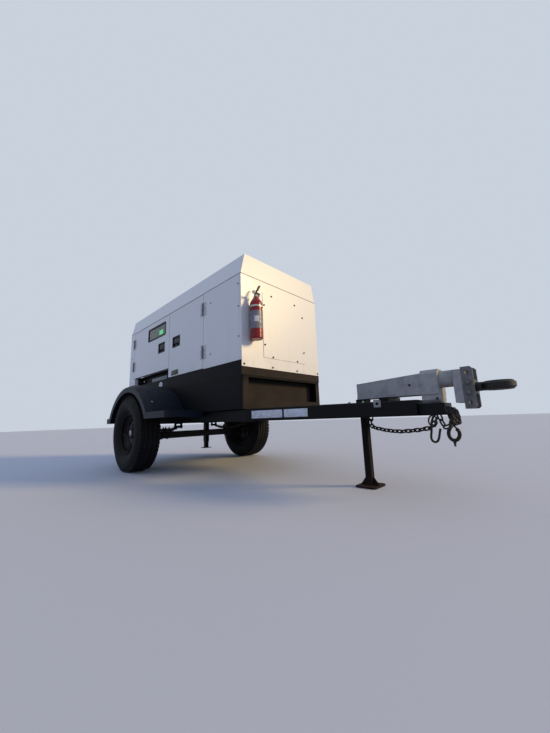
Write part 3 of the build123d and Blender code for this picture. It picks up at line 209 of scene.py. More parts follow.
# Where the hinges' leaves end and their knuckles begin, across the set, in metres
LEAF_Y, KNUCKLE_Y = 0.533, 0.537


def white_powder_coat(name, grime_and_shade_share):
    """Polyester powder coat, gloss white, sprayed and baked on folded sheet steel.
    It gives fine orange peel, soft reflections, faint rain streaks and road dust low down, and on
    the hinges a share of grey patches, partly grime and partly painted shade, with painted shade
    in near black round the knuckles."""
    white, dust, stain, bare, darkening, dark_tone = "#E9E8E4", "#B7AE9C", "#CFCBC1", "#8F8B83", "#4E5056", "#23252B"
    material, tree = finish_of(name, white, 0.36, grain=7, depth=0.05, Coat_Weight=0.1)
    streaks = patches(tree, 38, 0.55, 0.75, stretch=(1, 1, 0.05))
    colour = covered(tree, white, stain, streaks, along(tree, "Z", 1.9, 0.95), 0.22)
    spray = all_of(tree, patches(tree, 120, 0.4, 0.8), along(tree, "Z", 1.1, 0.93))
    colour = covered(tree, colour, dust, spray, 0.4)
    colour = covered(tree, colour, dust, settled_dust(tree, 0.6), patches(tree, 260, 0.3, 0.8), 0.35)
    colour = covered(tree, colour, bare, rubbed_edges(tree, 1.6), 0.35)
    # On the hinges: grey patches, partly grime and partly painted shade.
    colour = covered(tree, colour, darkening, patches(tree, 18, 0.3, 0.6), grime_and_shade_share)
    # Painted shade: near black round the hinges' knuckles, where they stand out from the leaves.
    for side in (-1, 1):
        knuckle_shade = along(tree, "Y", side * LEAF_Y, side * KNUCKLE_Y)
        colour = covered(tree, colour, dark_tone, knuckle_shade, 1.6 * grime_and_shade_share)
    wear(tree, colour, spray, 0.36, 0.6)
    return material


def black_enamel(name, paint, dust_share, chips, scuff_share=0.25):
    """Two-pack satin enamel over shot-blasted steel. It gives a dull black with brown dust on what
    looks up, grey scuffs and rubbed edges, and rust in the stone chips."""
    dust, scuff, rust, bare = "#4C453C", "#22252A", "#4B2C1E", "#54524F"
    material, tree = finish_of(name, paint, 0.5, grain=5, depth=0.06, Specular_IOR_Level=0.16)
    colour = covered(tree, paint, scuff, patches(tree, 55, 0.6, 0.8, stretch=(1, 1, 3)), scuff_share)
    settled = all_of(tree, settled_dust(tree), patches(tree, 90, 0.3, 0.75))
    colour = covered(tree, colour, dust, settled, dust_share)
    colour = covered(tree, colour, bare, rubbed_edges(tree, 1.5), 0.35)
    colour = covered(tree, colour, rust, patches(tree, 14, 0.78 - chips, 0.82 - chips), 0.8)
    wear(tree, colour, settled, 0.46, 0.85)
    return material


def tank_enamel():
    """Satin enamel on the folded tank and skid. It gives a blue black on the sides, painted shade in
    dead black under the skid's edge, and on the end behind the drawbar a brown film of road dust."""
    paint, film, dust, bare, darkening = "#070A10", "#3D352E", "#4C453C", "#3E3C3B", "#010203"
    material, tree = finish_of("tank_enamel", paint, 0.5, grain=6, depth=0.06, Specular_IOR_Level=0.11)
    clouds = {"Value": patches(tree, 160, 0.3, 0.75), "To Min": 0.3, "To Max": 0.9}
    thrown = all_of(tree, facing_share(tree, "X", 0.4, 0.9), add(tree, "ShaderNodeMapRange", clouds))
    colour = covered(tree, paint, film, thrown)
    settled = all_of(tree, settled_dust(tree), patches(tree, 90, 0.3, 0.75))
    colour = covered(tree, colour, dust, settled, 0.5)
    colour = covered(tree, colour, bare, rubbed_edges(tree, 1.5), 0.3)
    # Painted shade: dead black under the skid's edge, fading downwards, and kept off the skid's band above.
    colour = covered(tree, colour, darkening, along(tree, "Z", 0.79, 0.86), along(tree, "Z", 0.868, 0.864), 0.85)
    wear(tree, colour, thrown, 0.55, 0.85)
    return material


def weathered_grey_enamel(name, grey, chalk, oil_share):
    """Grey enamel on cast and folded steel, years outdoors. It gives a chalky grey with dark oil
    stains, bare brown edges and rust freckles."""
    dark_tone, rust, bare = "#37363A", "#5F4536", "#3F3833"
    material, tree = finish_of(name, grey, 0.62, grain=3, depth=0.15)
    colour = covered(tree, grey, dark_tone, patches(tree, 60, 0.45, 0.7), oil_share)
    colour = covered(tree, colour, chalk, patches(tree, 25, 0.58, 0.75), 0.5)
    colour = covered(tree, colour, rust, patches(tree, 9, 0.64, 0.72), 0.6)
    colour = covered(tree, colour, bare, rubbed_edges(tree, 3), 0.6)
    wear(tree, colour, patches(tree, 40, 0.3, 0.7), 0.5, 0.75)
    return material


def zinc_plate():
    """Zinc plate on pressed steel, dulled by weather. It gives a soft grey metal with clouds."""
    bright, dull = "#B4B6B8", "#8C8D8C"
    material, tree = finish_of("zinc_plate", bright, 0.42, grain=4, depth=0.03, metallic=1.0)
    clouds = patches(tree, 22, 0.3, 0.7)
    wear(tree, covered(tree, bright, dull, clouds, 0.7), clouds, 0.35, 0.6)
    return material


def forged_steel():
    """Hot-forged steel with its black scale, rubbed where the tow hook runs. It gives a dark,
    slightly pitted surface with dull shine."""
    scale, rub, rust = "#0E0E11", "#2C2A29", "#3B2419"
    material, tree = finish_of("forged_steel", scale, 0.5, grain=6, depth=0.3, metallic=0.35)
    rubbed = patches(tree, 30, 0.5, 0.72)
    colour = covered(tree, scale, rub, rubbed, 0.5)
    colour = covered(tree, colour, rust, patches(tree, 10, 0.62, 0.72), 0.5)
    wear(tree, colour, rubbed, 0.5, 0.36)
    return material


def chain_steel():
    """Drop-forged alloy chain, black when new. It gives near-black links with brown rust in the
    hollows and a grey rub on the crowns."""
    black, rust, rub = "#131316", "#3A2A22", "#4C4B4B"
    material, tree = finish_of("chain_steel", black, 0.5, grain=5, depth=0.2, metallic=0.4)
    colour = covered(tree, black, rust, patches(tree, 12, 0.5, 0.65), 0.7)
    colour = covered(tree, colour, rub, rubbed_edges(tree, 2), 0.5)
    wear(tree, colour, patches(tree, 20, 0.3, 0.7), 0.4, 0.7)
    return material


def rusted_steel():
    """Structural steel whose dark paint has mostly gone to rust. It gives a rough brown purple,
    darkest at the top where the paint holds on."""
    brown, rust, paint = "#1F1412", "#45291C", "#0A080B"
    material, tree = finish_of("rusted_steel", brown, 0.85, grain=4, depth=0.4, Specular_IOR_Level=0.2)
    colour = covered(tree, brown, rust, patches(tree, 25, 0.5, 0.75), 0.6)
    wear(tree, covered(tree, colour, paint, patches(tree, 60, 0.3, 0.45), along(tree, "Z", 0.02, 0.3), 0.92))
    return material


def tyre_rubber():
    """Vulcanised road-tyre rubber, worn. It gives a soft black, browner with dust in the tread."""
    black, dust = "#0B0C0F", "#2C2A28"
    material, tree = finish_of("tyre_rubber", black, 0.78, grain=8, depth=0.15, Specular_IOR_Level=0.22)
    dusty = patches(tree, 70, 0.4, 0.8)
    wear(tree, covered(tree, black, dust, dusty, 0.4), dusty, 0.7, 0.88)
    return material


def wheel_enamel():
    """Wheel enamel on pressed steel under years of brake dust and road film. It gives a dark
    brown grey with a duller bare spot here and there."""
    grey, film, rust = "#4A4A4C", "#1B1917", "#4A2E20"
    material, tree = finish_of("wheel_enamel", grey, 0.6, grain=4, depth=0.08, metallic=0.2)
    darkening = patches(tree, 60, 0.25, 0.55)
    colour = covered(tree, grey, film, darkening, 0.9)
    colour = covered(tree, colour, rust, patches(tree, 12, 0.62, 0.7), 0.6)
    wear(tree, colour, darkening, 0.5, 0.85)
    return material


def black_nylon():
    """Glass-filled nylon, injection moulded with a spark-eroded grain. It gives an even dull black,
    greyed by sun on what stands proud."""
    black, bloom, edge = "#15161A", "#4A4B4F", "#5A5B60"
    material, tree = finish_of("black_nylon", black, 0.55, grain=1.5, depth=0.05)
    colour = covered(tree, black, bloom, patches(tree, 20, 0.45, 0.7), 0.7)
    wear(tree, covered(tree, colour, edge, rubbed_edges(tree, 1.5), 0.35))
    return material


def seal_rubber():
    """Extruded EPDM rubber. It gives a matt black with a bloom of grey."""
    black, bloom = "#131315", "#33322F"
    material, tree = finish_of("epdm_rubber", black, 0.7, grain=3, depth=0.04)
    wear(tree, covered(tree, black, bloom, patches(tree, 30, 0.45, 0.8), 0.5))
    return material


def clear_polycarbonate():
    """Smoke-tinted polycarbonate sheet. It gives a grey green pane with a faint haze."""
    material, tree = finish_of("polycarbonate", "#8E9C98", 0.06, IOR=1.58, Transmission_Weight=1.0)
    wear(tree, mask=patches(tree, 60, 0.4, 0.8), clean=0.04, worn=0.16)
    return material


def red_enamel():
    """Gloss enamel on the drawn bottle. It gives a deep red with clean highlights."""
    red, faded = "#8F0E18", "#5C0C15"
    gloss = {"Coat_Weight": 0.1, "Specular_IOR_Level": 0.3}
    material, tree = finish_of("red_enamel", red, 0.28, grain=9, depth=0.03, **gloss)
    wear(tree, covered(tree, red, faded, patches(tree, 80, 0.4, 0.8), 0.5))
    return material


def red_lens():
    """Moulded acrylic lens with the fine fluting of a lamp. It gives a deep, wet red."""
    material, tree = finish_of("red_lens", "#8E0F14", 0.12, IOR=1.49, Transmission_Weight=0.25)
    ridges(tree, 5, 0.6, "Y")
    return material


def engine_enamel():
    """Heat-proof grey enamel on cast iron. It gives a coarse surface with oily dark patches."""
    grey, dark_tone = "#5B5E61", "#2B2926"
    material, tree = finish_of("engine_enamel", grey, 0.5, grain=3, depth=0.35)
    colour = covered(tree, grey, dark_tone, patches(tree, 70, 0.45, 0.7), 0.6)
    wear(tree, colour, patches(tree, 40, 0.4, 0.7), 0.35, 0.65)
    return material


def cooler_black():
    """Stove-black coat on aluminium fins. It gives a matt black with rows of fine fins."""
    black, dust = "#17181A", "#4A443C"
    material, tree = finish_of("stove_black", black, 0.7)
    ridges(tree, 9, 2, "Z")
    wear(tree, covered(tree, black, dust, patches(tree, 120, 0.4, 0.8), 0.4))
    return material


def cabinet_powder_coat(name, colour, soil):
    """Textured powder coat on sheet steel. It gives a fine even pebble."""
    material, tree = finish_of(name, colour, 0.5, grain=2.5, depth=0.1)
    wear(tree, covered(tree, colour, soil, patches(tree, 150, 0.4, 0.8), 0.5))
    return material


def vinyl_film(name, colour, soil):
    """Cast vinyl film, as a bare plate or sleeve wears. It gives a flat, faintly creased face
    with soil rubbed into it."""
    material, tree = finish_of(name, colour, 0.4, grain=12, depth=0.05)
    soiled = patches(tree, 35, 0.4, 0.75, stretch=(1, 1, 2))
    wear(tree, covered(tree, colour, soil, soiled, 0.7), soiled, 0.35, 0.6)
    return material


def foam():
    """Open-cell polyurethane sound foam. It gives a matt charcoal full of pores."""
    charcoal, worn = "#222326", "#3A3A3B"
    material, tree = finish_of("sound_foam", charcoal, 0.95, grain=2.5, depth=0.8)
    wear(tree, covered(tree, charcoal, worn, patches(tree, 6, 0.4, 0.6)))
    return material


def brass():
    """Machined brass, gone dull. It gives a warm yellow metal with brown in the corners, the yellow kept
    dark partly as painted shade of the terminal bay.
    """
    # The yellow is dull brass, kept dark partly as painted shade of the bay the studs sit in.
    dull_and_shaded_yellow, brown = "#8A7045", "#4B3D28"
    material, tree = finish_of("brass", dull_and_shaded_yellow, 0.45, grain=3, depth=0.03, metallic=1.0)
    wear(tree, covered(tree, dull_and_shaded_yellow, brown, patches(tree, 15, 0.35, 0.65), 0.8))
    return material


def lit_display():
    """Back-lit liquid-crystal display. It gives an even green glow with darker rows of blocks."""
    dark, block_green, light_green, gap_green = "#0B3D22", "#1FA556", "#3BE07E", "#35F08A"
    material, tree = finish_of("lit_display", dark, 0.2, Emission_Strength=2.4)
    rows = {"Vector": add(tree, "ShaderNodeTexCoord", out="Object"), "Scale": 1.0, "Mortar Size": 0.0035,
            "Brick Width": 0.022, "Row Height": 0.012, "Color1": linear(block_green),
            "Color2": linear(light_green), "Mortar": linear(gap_green)}
    feed(tree, Emission_Color=add(tree, "ShaderNodeTexBrick", rows))
    return material


def signal_plastic(name, colour):
    """Moulded gloss plastic of a knob or button. It gives a clean even colour, dusty in the grain."""
    dust = "#6E6A62"
    material, tree = finish_of(name, colour, 0.35, grain=2, depth=0.03)
    wear(tree, covered(tree, colour, dust, patches(tree, 12, 0.5, 0.8), 0.3))
    return material


finishes = {
    "canopy_white": white_powder_coat("white_powder_coat", 0.0),
    "frame_black": black_enamel("frame_enamel", "#05060A", 0.28, 0.05),
    "tank_black": tank_enamel(),
    "fender_black": black_enamel("fender_enamel", "#131A27", 0.25, 0.03, 0.4),
    "tyre": tyre_rubber(),
    "rim": wheel_enamel(),
    "actuator_grey": weathered_grey_enamel("weathered_grey_enamel", "#A2A29D", "#B9B9B4", 0.35),
    "bare_steel": zinc_plate(),
    "forged_black": forged_steel(),
    "rusty_steel": rusted_steel(),
    "latch_black": black_nylon(),
    "seal_rubber": seal_rubber(),
    "window_glass": clear_polycarbonate(),
    "extinguisher_red": red_enamel(),
    "lamp_red": red_lens(),
    "engine_paint": engine_enamel(),
    "cooler_black": cooler_black(),
    "cabinet_grey": cabinet_powder_coat("cabinet_powder_coat", "#7C8081", "#5E6060"),
}
# The hinges' coat: grey patches on the white, partly grime and partly painted shade, and painted shade round
# the knuckles.
grime_and_shade_white = white_powder_coat("grime_and_shade_powder_coat", 0.5)
oiled_grey = weathered_grey_enamel("oiled_grey_enamel", "#6F6C69", "#8E8C89", 0.6)
# The terminal bay's coat: the cabinet's powder coat made near black, as painted shade of the bay's deep
# inside.
bay_painted_shade = cabinet_powder_coat("bay_painted_shade_coat", "#17191B", "#26241F")
zinc = finishes["bare_steel"]
chain_black = chain_steel()
white_film = vinyl_film("white_vinyl_film", "#DBDEE3", "#A3A19B")
black_film = vinyl_film("black_vinyl_film", "#08090B", "#17181B")
sleeve_film = vinyl_film("grey_vinyl_film", "#7B7A83", "#5C5A60")

hinge_nodes = ("fixed_hinges", "front_door_hinges", "rear_door_hinges")
# The terminal bay takes the near-black coat, painted shade of its inside.
own_finishes = {"coupler_bracket": oiled_grey, "terminal_bay": bay_painted_shade}
# The hinges take the coat with painted shade round their knuckles.
own_finishes.update((node, grime_and_shade_white) for node in hinge_nodes)

for part in frame["record"]["subparts"]:
    surface = nodes[part["node"]].data
    surface.materials.clear()
    surface.materials.append(own_finishes.get(part["node"], finishes[part["material_slot"]]))


# Shapes, drawn in millimetres

WELD_WITHIN = 0.001
SHARP_ANGLE = math.radians(35)


def turns(count, sweep=(0, 360)):
    """Even angles over a sweep in degrees. A whole turn leaves out its last, which is its first."""
    start, end = map(math.radians, sweep)
    stops = count if sweep == (0, 360) else count + 1
    return [start + (end - start) * step / count for step in range(stops)]


def round_points(centre, first, second, count=16, sweep=(0, 360)):
    """Points round an oval, from its centre and its half axes at 0 and at 90 degrees."""
    return [tuple(middle + math.cos(turn) * one + math.sin(turn) * other
                  for middle, one, other in zip(centre, first, second)) for turn in turns(count, sweep)]


def placed(shape, centre, facing):
    """A shape with its +Z turned to the way that it faces, moved to its centre."""
    turn = Vector(facing).to_track_quat("Z", "Y").to_matrix().to_4x4()
    shape.transform(Matrix.Translation(centre) @ turn)
    return shape


def turned(outline, centre, axis, segments=40, sweep=(0, 360)):
    """A closed shape turned about an axis: the outline gives distances from the axis and along it,
    and its last point joins its first."""
    shape = bmesh.new()
    angles = turns(segments, sweep)
    rings = [[shape.verts.new((radius * math.cos(turn), radius * math.sin(turn), height)) for turn in angles]
             for radius, height in outline]
    joins = list(zip(rings, rings[1:]))
    if outline[0][0] or outline[-1][0]:
        joins.append((rings[-1], rings[0]))
    for lower, upper in joins:
        for step in range(segments):
            after = (step + 1) % len(angles)
            shape.faces.new((lower[step], lower[after], upper[after], upper[step]))
    if len(angles) > segments:
        for end_ring in (0, -1):
            shape.faces.new([ring[end_ring] for ring in rings])
    bmesh.ops.remove_doubles(shape, verts=shape.verts, dist=WELD_WITHIN)
    bmesh.ops.dissolve_degenerate(shape, edges=shape.edges, dist=WELD_WITHIN)
    bmesh.ops.recalc_face_normals(shape, faces=shape.faces)
    return placed(shape, centre, axis)


def block(size, centre, edge, facing=(0, 0, 1)):
    """A block with its edges rounded. Its third size runs along the way that it faces."""
    shape = bmesh.new()
    bmesh.ops.create_cube(shape, size=1.0)
    shape.transform(Matrix.Diagonal((*size, 1.0)))
    bmesh.ops.bevel(shape, geom=shape.edges[:], offset=edge, segments=2, profile=0.5, affect="EDGES")
    return placed(shape, centre, facing)


def rod(points, radius, smooth=True, closed=False, sides=3):
    """A round bar along points, eased through them or straight from one to the next."""
    curve = bpy.data.curves.new("rod", "CURVE")
    curve.dimensions = "3D"
    curve.bevel_depth = radius
    curve.bevel_resolution = sides
    curve.use_fill_caps = True
    line = curve.splines.new("NURBS" if smooth else "POLY")
    line.points.add(len(points) - 1)
    for point, place in zip(line.points, points):
        point.co = (*place, 1.0)
    if smooth:
        line.order_u = 3
        line.resolution_u = 6
        line.use_endpoint_u = not closed
    line.use_cyclic_u = closed
    holder = bpy.data.objects.new("rod", curve)
    shape = bmesh.new()
    shape.from_mesh(bpy.data.meshes.new_from_object(holder))
    bpy.data.objects.remove(holder)
    bmesh.ops.remove_doubles(shape, verts=shape.verts, dist=WELD_WITHIN)
    bmesh.ops.recalc_face_normals(shape, faces=shape.faces)
    return shape


def settle(name, mesh, body):
    """Turns a mesh from millimetres to metres, as one piece on its body."""
    mesh.transform(Matrix.Scale(MM, 4))
    mesh.shade_smooth()
    mesh.set_sharp_from_angle(angle=SHARP_ANGLE)
    made = bpy.data.objects.new(name, mesh)
    bpy.context.scene.collection.objects.link(made)
    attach(made, body)
    return made


def piece(name, shapes, finish, body="set"):
    """Joins shapes into one piece."""
    joined = bmesh.new()
    for shape in shapes:
        mesh = bpy.data.meshes.new("shape")
        shape.to_mesh(mesh)
        joined.from_mesh(mesh)
        shape.free()
        bpy.data.meshes.remove(mesh)
    mesh = bpy.data.meshes.new(name)
    joined.to_mesh(mesh)
    joined.free()
    mesh.materials.append(finish)
    return settle(name, mesh, body)


# Geometry trees: what repeats, grown from a guide

# A hexagon's width across its flats over its radius, and a whole turn in radians
FLATS_TO_CORNER = 1.732
WHOLE_TURN = 6.283
# A link's two bends part this near to its middle, in millimetres
HALVES_PART = 2.0


def start_tree(name, sizes, counts=()):
    """Starts a geometry tree: a guide comes in, with named sizes in millimetres and a finish."""
    tree = bpy.data.node_groups.new(name, "GeometryNodeTree")
    taken = [("Guide", "Geometry"), *((size, "Float") for size in sizes)]
    taken += [*((count, "Int") for count in counts), ("Finish", "Material")]
    for taken_name, kind in taken:
        tree.interface.new_socket(taken_name, in_out="INPUT", socket_type="NodeSocket" + kind)
    tree.interface.new_socket("Pieces", in_out="OUTPUT", socket_type="NodeSocketGeometry")
    return tree, add(tree, "NodeGroupInput").node.outputs


def end_tree(tree, given, points, shape, rotation, scale=(1, 1, 1)):
    """Ends a tree: the shape stands at every point, all in plain, finished geometry."""
    stood = {"Points": points, "Instance": shape, "Rotation": rotation, "Scale": scale}
    plain = add(tree, "GeometryNodeRealizeInstances", {0: add(tree, "GeometryNodeInstanceOnPoints", stood)})
    coated = add(tree, "GeometryNodeSetMaterial", {"Geometry": plain, "Material": given["Finish"]})
    add(tree, "NodeGroupOutput", {0: coated})
    return tree


def lifted(tree, geometry, height):
    """Geometry moved up by a height."""
    up = add(tree, "ShaderNodeCombineXYZ", {"Z": height})
    return add(tree, "GeometryNodeTransform", {"Geometry": geometry, "Translation": up})


def drum(tree, sides, radius, depth, foot=0.0):
    """A cylinder that stands with its foot at a height."""
    upright = add(tree, "GeometryNodeMeshCylinder", {"Vertices": sides, "Radius": radius, "Depth": depth})
    return lifted(tree, upright, worked(tree, depth, ("MULTIPLY", 0.5), ("ADD", foot)))


def cube_of(tree, x, y, z, **faces):
    """A cuboid of three sizes about its middle."""
    size = add(tree, "ShaderNodeCombineXYZ", {"X": x, "Y": y, "Z": z})
    return add(tree, "GeometryNodeMeshCube", {"Size": size, **faces})


def facing_aim(tree):
    """The turn that sets an instance's +Z along its guide point's own aim."""
    aim = add(tree, "GeometryNodeInputNamedAttribute", {"Name": "aim"}, data_type="FLOAT_VECTOR")
    return add(tree, "FunctionNodeAlignRotationToVector", {"Vector": aim}, axis="Z")


def turned_about(tree, rotation, angle):
    """A rotation with a further turn about its own +Z."""
    further = add(tree, "FunctionNodeAxisAngleToRotation", {"Axis": (0, 0, 1), "Angle": angle})
    return add(tree, "FunctionNodeRotateRotation", {0: rotation, 1: further}, rotation_space="LOCAL")


def seats_along(tree, given, spacing, eased=False):
    """Points at an even spacing along the guide's lines, with the turn along the line at each."""
    line = add(tree, "GeometryNodeMeshToCurve", {"Mesh": given["Guide"]})
    if eased:
        line = add(tree, "GeometryNodeCurveSplineType", {"Curve": line}, spline_type="CATMULL_ROM")
    seats = add(tree, "GeometryNodeCurveToPoints", {"Curve": line, "Length": given[spacing]}, mode="LENGTH")
    return seats.node.outputs


def fastener_tree():
    """A washer, a head with its crown, and the end of a stud, at each point of the guide."""
    sizes = ("Width", "Head height", "Washer radius", "Washer height", "Stud length")
    tree, given = start_tree("fasteners", sizes, ("Sides",))
    width, thick = given["Width"], given["Washer height"]
    corner = worked(tree, width, ("DIVIDE", FLATS_TO_CORNER))
    top = worked(tree, thick, ("ADD", given["Head height"]))
    crown = {"Vertices": 16, "Radius Top": worked(tree, width, ("MULTIPLY", 0.36)),
             "Radius Bottom": worked(tree, width, ("MULTIPLY", 0.49)),
             "Depth": worked(tree, width, ("MULTIPLY", 0.08))}
    stud_end = worked(tree, top, ("ADD", given["Stud length"]))
    whole = [drum(tree, 18, given["Washer radius"], thick),
             drum(tree, given["Sides"], corner, given["Head height"], thick),
             lifted(tree, add(tree, "GeometryNodeMeshCone", crown), top),
             drum(tree, 12, worked(tree, width, ("MULTIPLY", 0.3)), stud_end)]
    whole = add(tree, "GeometryNodeJoinGeometry", {0: whole})
    drawn = {2: 0.0, 3: WHOLE_TURN, "Seed": 11}
    spin = add(tree, "FunctionNodeRandomValue", drawn, out=1, data_type="FLOAT")
    return end_tree(tree, given, given["Guide"], whole, turned_about(tree, facing_aim(tree), spin))


def chain_tree():
    """Oval links along the guide's line, each a quarter turn from the last."""
    tree, given = start_tree("chain", ("Pitch", "Rod radius", "Link width"))
    bar = given["Rod radius"]
    radius = worked(tree, given["Link width"], ("MULTIPLY", 0.5), ("SUBTRACT", bar))
    bend = add(tree, "GeometryNodeCurvePrimitiveCircle", {"Resolution": 16, "Radius": radius})
    straight = worked(tree, given["Pitch"], ("MULTIPLY", 0.5), ("ADD", bar), ("SUBTRACT", radius))
    height = add(tree, "ShaderNodeSeparateXYZ", {0: add(tree, "GeometryNodeInputPosition")}, out="Y")
    span = {"Value": height, "From Min": -HALVES_PART, "From Max": HALVES_PART,
            "To Min": worked(tree, straight, ("MULTIPLY", -1.0)), "To Max": straight}
    shift = add(tree, "ShaderNodeCombineXYZ", {"Y": add(tree, "ShaderNodeMapRange", span)})
    oval = add(tree, "GeometryNodeSetPosition", {"Geometry": bend, "Offset": shift})
    section = add(tree, "GeometryNodeCurvePrimitiveCircle", {"Resolution": 8, "Radius": bar})
    link = add(tree, "GeometryNodeCurveToMesh", {"Curve": oval, "Profile Curve": section})
    link = add(tree, "GeometryNodeTransform", {"Geometry": link, "Rotation": (math.pi / 2, 0, 0)})
    seats = seats_along(tree, given, "Pitch", eased=True)
    odd = worked(tree, add(tree, "GeometryNodeInputIndex"), ("MODULO", 2.0), ("MULTIPLY", math.pi / 2))
    return end_tree(tree, given, seats["Points"], link, turned_about(tree, seats["Rotation"], odd))


def weld_tree():
    """The overlapping ripples of a weld run along the guide's lines."""
    tree, given = start_tree("weld", ("Bead width", "Ripple"))
    radius = worked(tree, given["Bead width"], ("MULTIPLY", 0.5))
    drop = add(tree, "GeometryNodeMeshUVSphere", {"Segments": 8, "Rings": 5, "Radius": radius})
    seats = seats_along(tree, given, "Ripple")
    size = add(tree, "FunctionNodeRandomValue", {2: 0.85, 3: 1.1, "Seed": 5}, out=1, data_type="FLOAT")
    return end_tree(tree, given, seats["Points"], drop, seats["Rotation"], size)


def tread_tree():
    """Tread blocks round the wheel, one at each point of the guide, standing out from the axle."""
    tree, given = start_tree("tread", ("Block length", "Block width", "Block height"))
    cube = cube_of(tree, *(given[size] for size in ("Block length", "Block width", "Block height")))
    cube = lifted(tree, cube, worked(tree, given["Block height"], ("MULTIPLY", -0.5)))
    across = {"Rotation": facing_aim(tree), "Vector": (0, 1, 0)}
    across = add(tree, "FunctionNodeAlignRotationToVector", across, axis="Y", pivot_axis="Z")
    return end_tree(tree, given, given["Guide"], cube, across)


def foam_tree():
    """A foam mat with rows of rounded peaks, lying on the guide's one point."""
    sizes = ("Length", "Height", "Thickness", "Peak pitch", "Peak height")
    tree, given = start_tree("foam", sizes, ("Rows", "Columns"))
    faces = {"Vertices X": given["Columns"], "Vertices Y": given["Rows"]}
    sheet = cube_of(tree, given["Length"], given["Height"], given["Thickness"], **faces)
    place = add(tree, "ShaderNodeSeparateXYZ", {0: add(tree, "GeometryNodeInputPosition")}).node.outputs
    waves = []
    for axis, whole in (("X", "Length"), ("Y", "Height")):
        half = worked(tree, given[whole], ("MULTIPLY", 0.5))
        peak = worked(tree, place[axis], ("ADD", half), ("DIVIDE", given["Peak pitch"]))
        waves.append(worked(tree, peak, ("MULTIPLY", math.pi), ("SINE",), ("ABSOLUTE",)))
    upper = worked(tree, place["Z"], ("GREATER_THAN", 0.0))
    rise = all_of(tree, *waves, given["Peak height"], upper)
    up = add(tree, "ShaderNodeCombineXYZ", {"Z": rise})
    sheet = add(tree, "GeometryNodeSetPosition", {"Geometry": sheet, "Offset": up})
    return end_tree(tree, given, given["Guide"], sheet, facing_aim(tree))


def marks(places, aim):
    """Loose guide points with the direction that each faces: one for all of them, or a list."""
    guide = bpy.data.meshes.new("marks")
    guide.from_pydata([tuple(place) for place in places], [], [])
    held = guide.attributes.new("aim", "FLOAT_VECTOR", "POINT")
    for point, way in zip(held.data, aim if isinstance(aim, list) else [aim] * len(places)):
        point.vector = way
    return guide


def lines(*runs):
    """Guide lines, each through its own points."""
    guide = bpy.data.meshes.new("lines")
    places, edges = [], []
    for run in runs:
        first = len(places)
        places.extend(tuple(place) for place in run)
        edges.extend((first + step, first + step + 1) for step in range(len(run) - 1))
    guide.from_pydata(places, edges, [])
    return guide


def grow(name, tree, guide, finish, sizes, body="set"):
    """Grows a tree on its guide and keeps what it makes as one plain piece."""
    seed = bpy.data.objects.new(name + "_guide", guide)
    maker = seed.modifiers.new("maker", "NODES")
    maker.node_group = tree
    for socket in tree.interface.items_tree:
        if socket.in_out == "INPUT" and socket.name != "Guide":
            maker[socket.identifier] = finish if socket.name == "Finish" else sizes[socket.name]
    bpy.context.scene.collection.objects.link(seed)
    grown = seed.evaluated_get(bpy.context.evaluated_depsgraph_get())
    mesh = bpy.data.meshes.new_from_object(grown)
    bpy.data.objects.remove(seed)
    while mesh.attributes.get("aim"):
        mesh.attributes.remove(mesh.attributes["aim"])
    return settle(name, mesh, body)


fasteners = fastener_tree()
chain = chain_tree()
weld = weld_tree()
tread = tread_tree()
foam_peaks = foam_tree()


def fasten(name, places, aim, finish, sizes, body="set"):
    """Sets fasteners of one kind at places, facing the way they aim."""
    return grow(name, fasteners, marks(places, aim), finish, sizes, body)


def fastener(width, head, washer, thickness, stud=0.0, sides=6):
    """Sizes of a fastener: across its flats, its head, its washer's radius and thickness, its stud."""
    return {"Width": width, "Head height": head, "Washer radius": washer, "Washer height": thickness,
            "Stud length": stud, "Sides": sides}


M8_BOLT = fastener(13.0, 5.5, 8.5, 1.6)
M6_SCREW = fastener(11.0, 2.6, 6.6, 0.8, sides=16)
M10_BOLT = fastener(17.0, 9.0, 10.5, 2.0, stud=5.0)
M16_BOLT = fastener(24.0, 11.0, 16.0, 3.0)
M16_NUT = fastener(24.0, 14.0, 16.0, 3.0, stud=7.0)
WHEEL_NUT = fastener(19.0, 15.0, 12.0, 3.0, stud=6.0)
U_BOLT_NUT = fastener(16.0, 8.0, 9.5, 1.5, stud=8.0)
PIN_HEAD = fastener(19.0, 9.0, 12.0, 2.0)
LUG_STUD = fastener(19.0, 9.0, 13.0, 2.0, stud=12.0)
BUTTON = fastener(12.0, 3.0, 7.5, 0.8, sides=16)


# Places that several pieces share, read from the solid model, in millimetres

def edge_of(node, which, axis):
    """A node's lowest place (0) or highest place (1) along an axis, counted from 0."""
    return round(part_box(node)[which][axis] / MM, 1)


def middle_of(node):
    """The middle of a node's box."""
    return [round((low + high) / 2 / MM, 1) for low, high in zip(*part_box(node))]


REAR_X, FRONT_X = edge_of("rear_wall", 0, 0), edge_of("front_wall", 1, 0)
HALF_WIDTH = edge_of("front_wall", 1, 1)
AXLE_X, WHEEL_Y, AXLE_Z = middle_of("tyre_far")

# The near drawbar beam's outer face: where it leaves the set, and how far in it runs for each step ahead
BEAM_ROOT_Y, BEAM_TAPER = -502.7, 0.33475
BEAM_RUN = Vector((1.0, BEAM_TAPER, 0.0))
BEAM_FACING = Vector((BEAM_TAPER, -1.0, 0.0)).normalized()

UP, AHEAD, TO_NEAR, TO_FAR = (0, 0, 1), (1, 0, 0), (0, -1, 0), (0, 1, 0)


def on_beam(ahead, height, proud):
    """A place on the near beam's outer face, or proud of it."""
    return Vector((FRONT_X, BEAM_ROOT_Y, height)) + ahead * BEAM_RUN + proud * BEAM_FACING


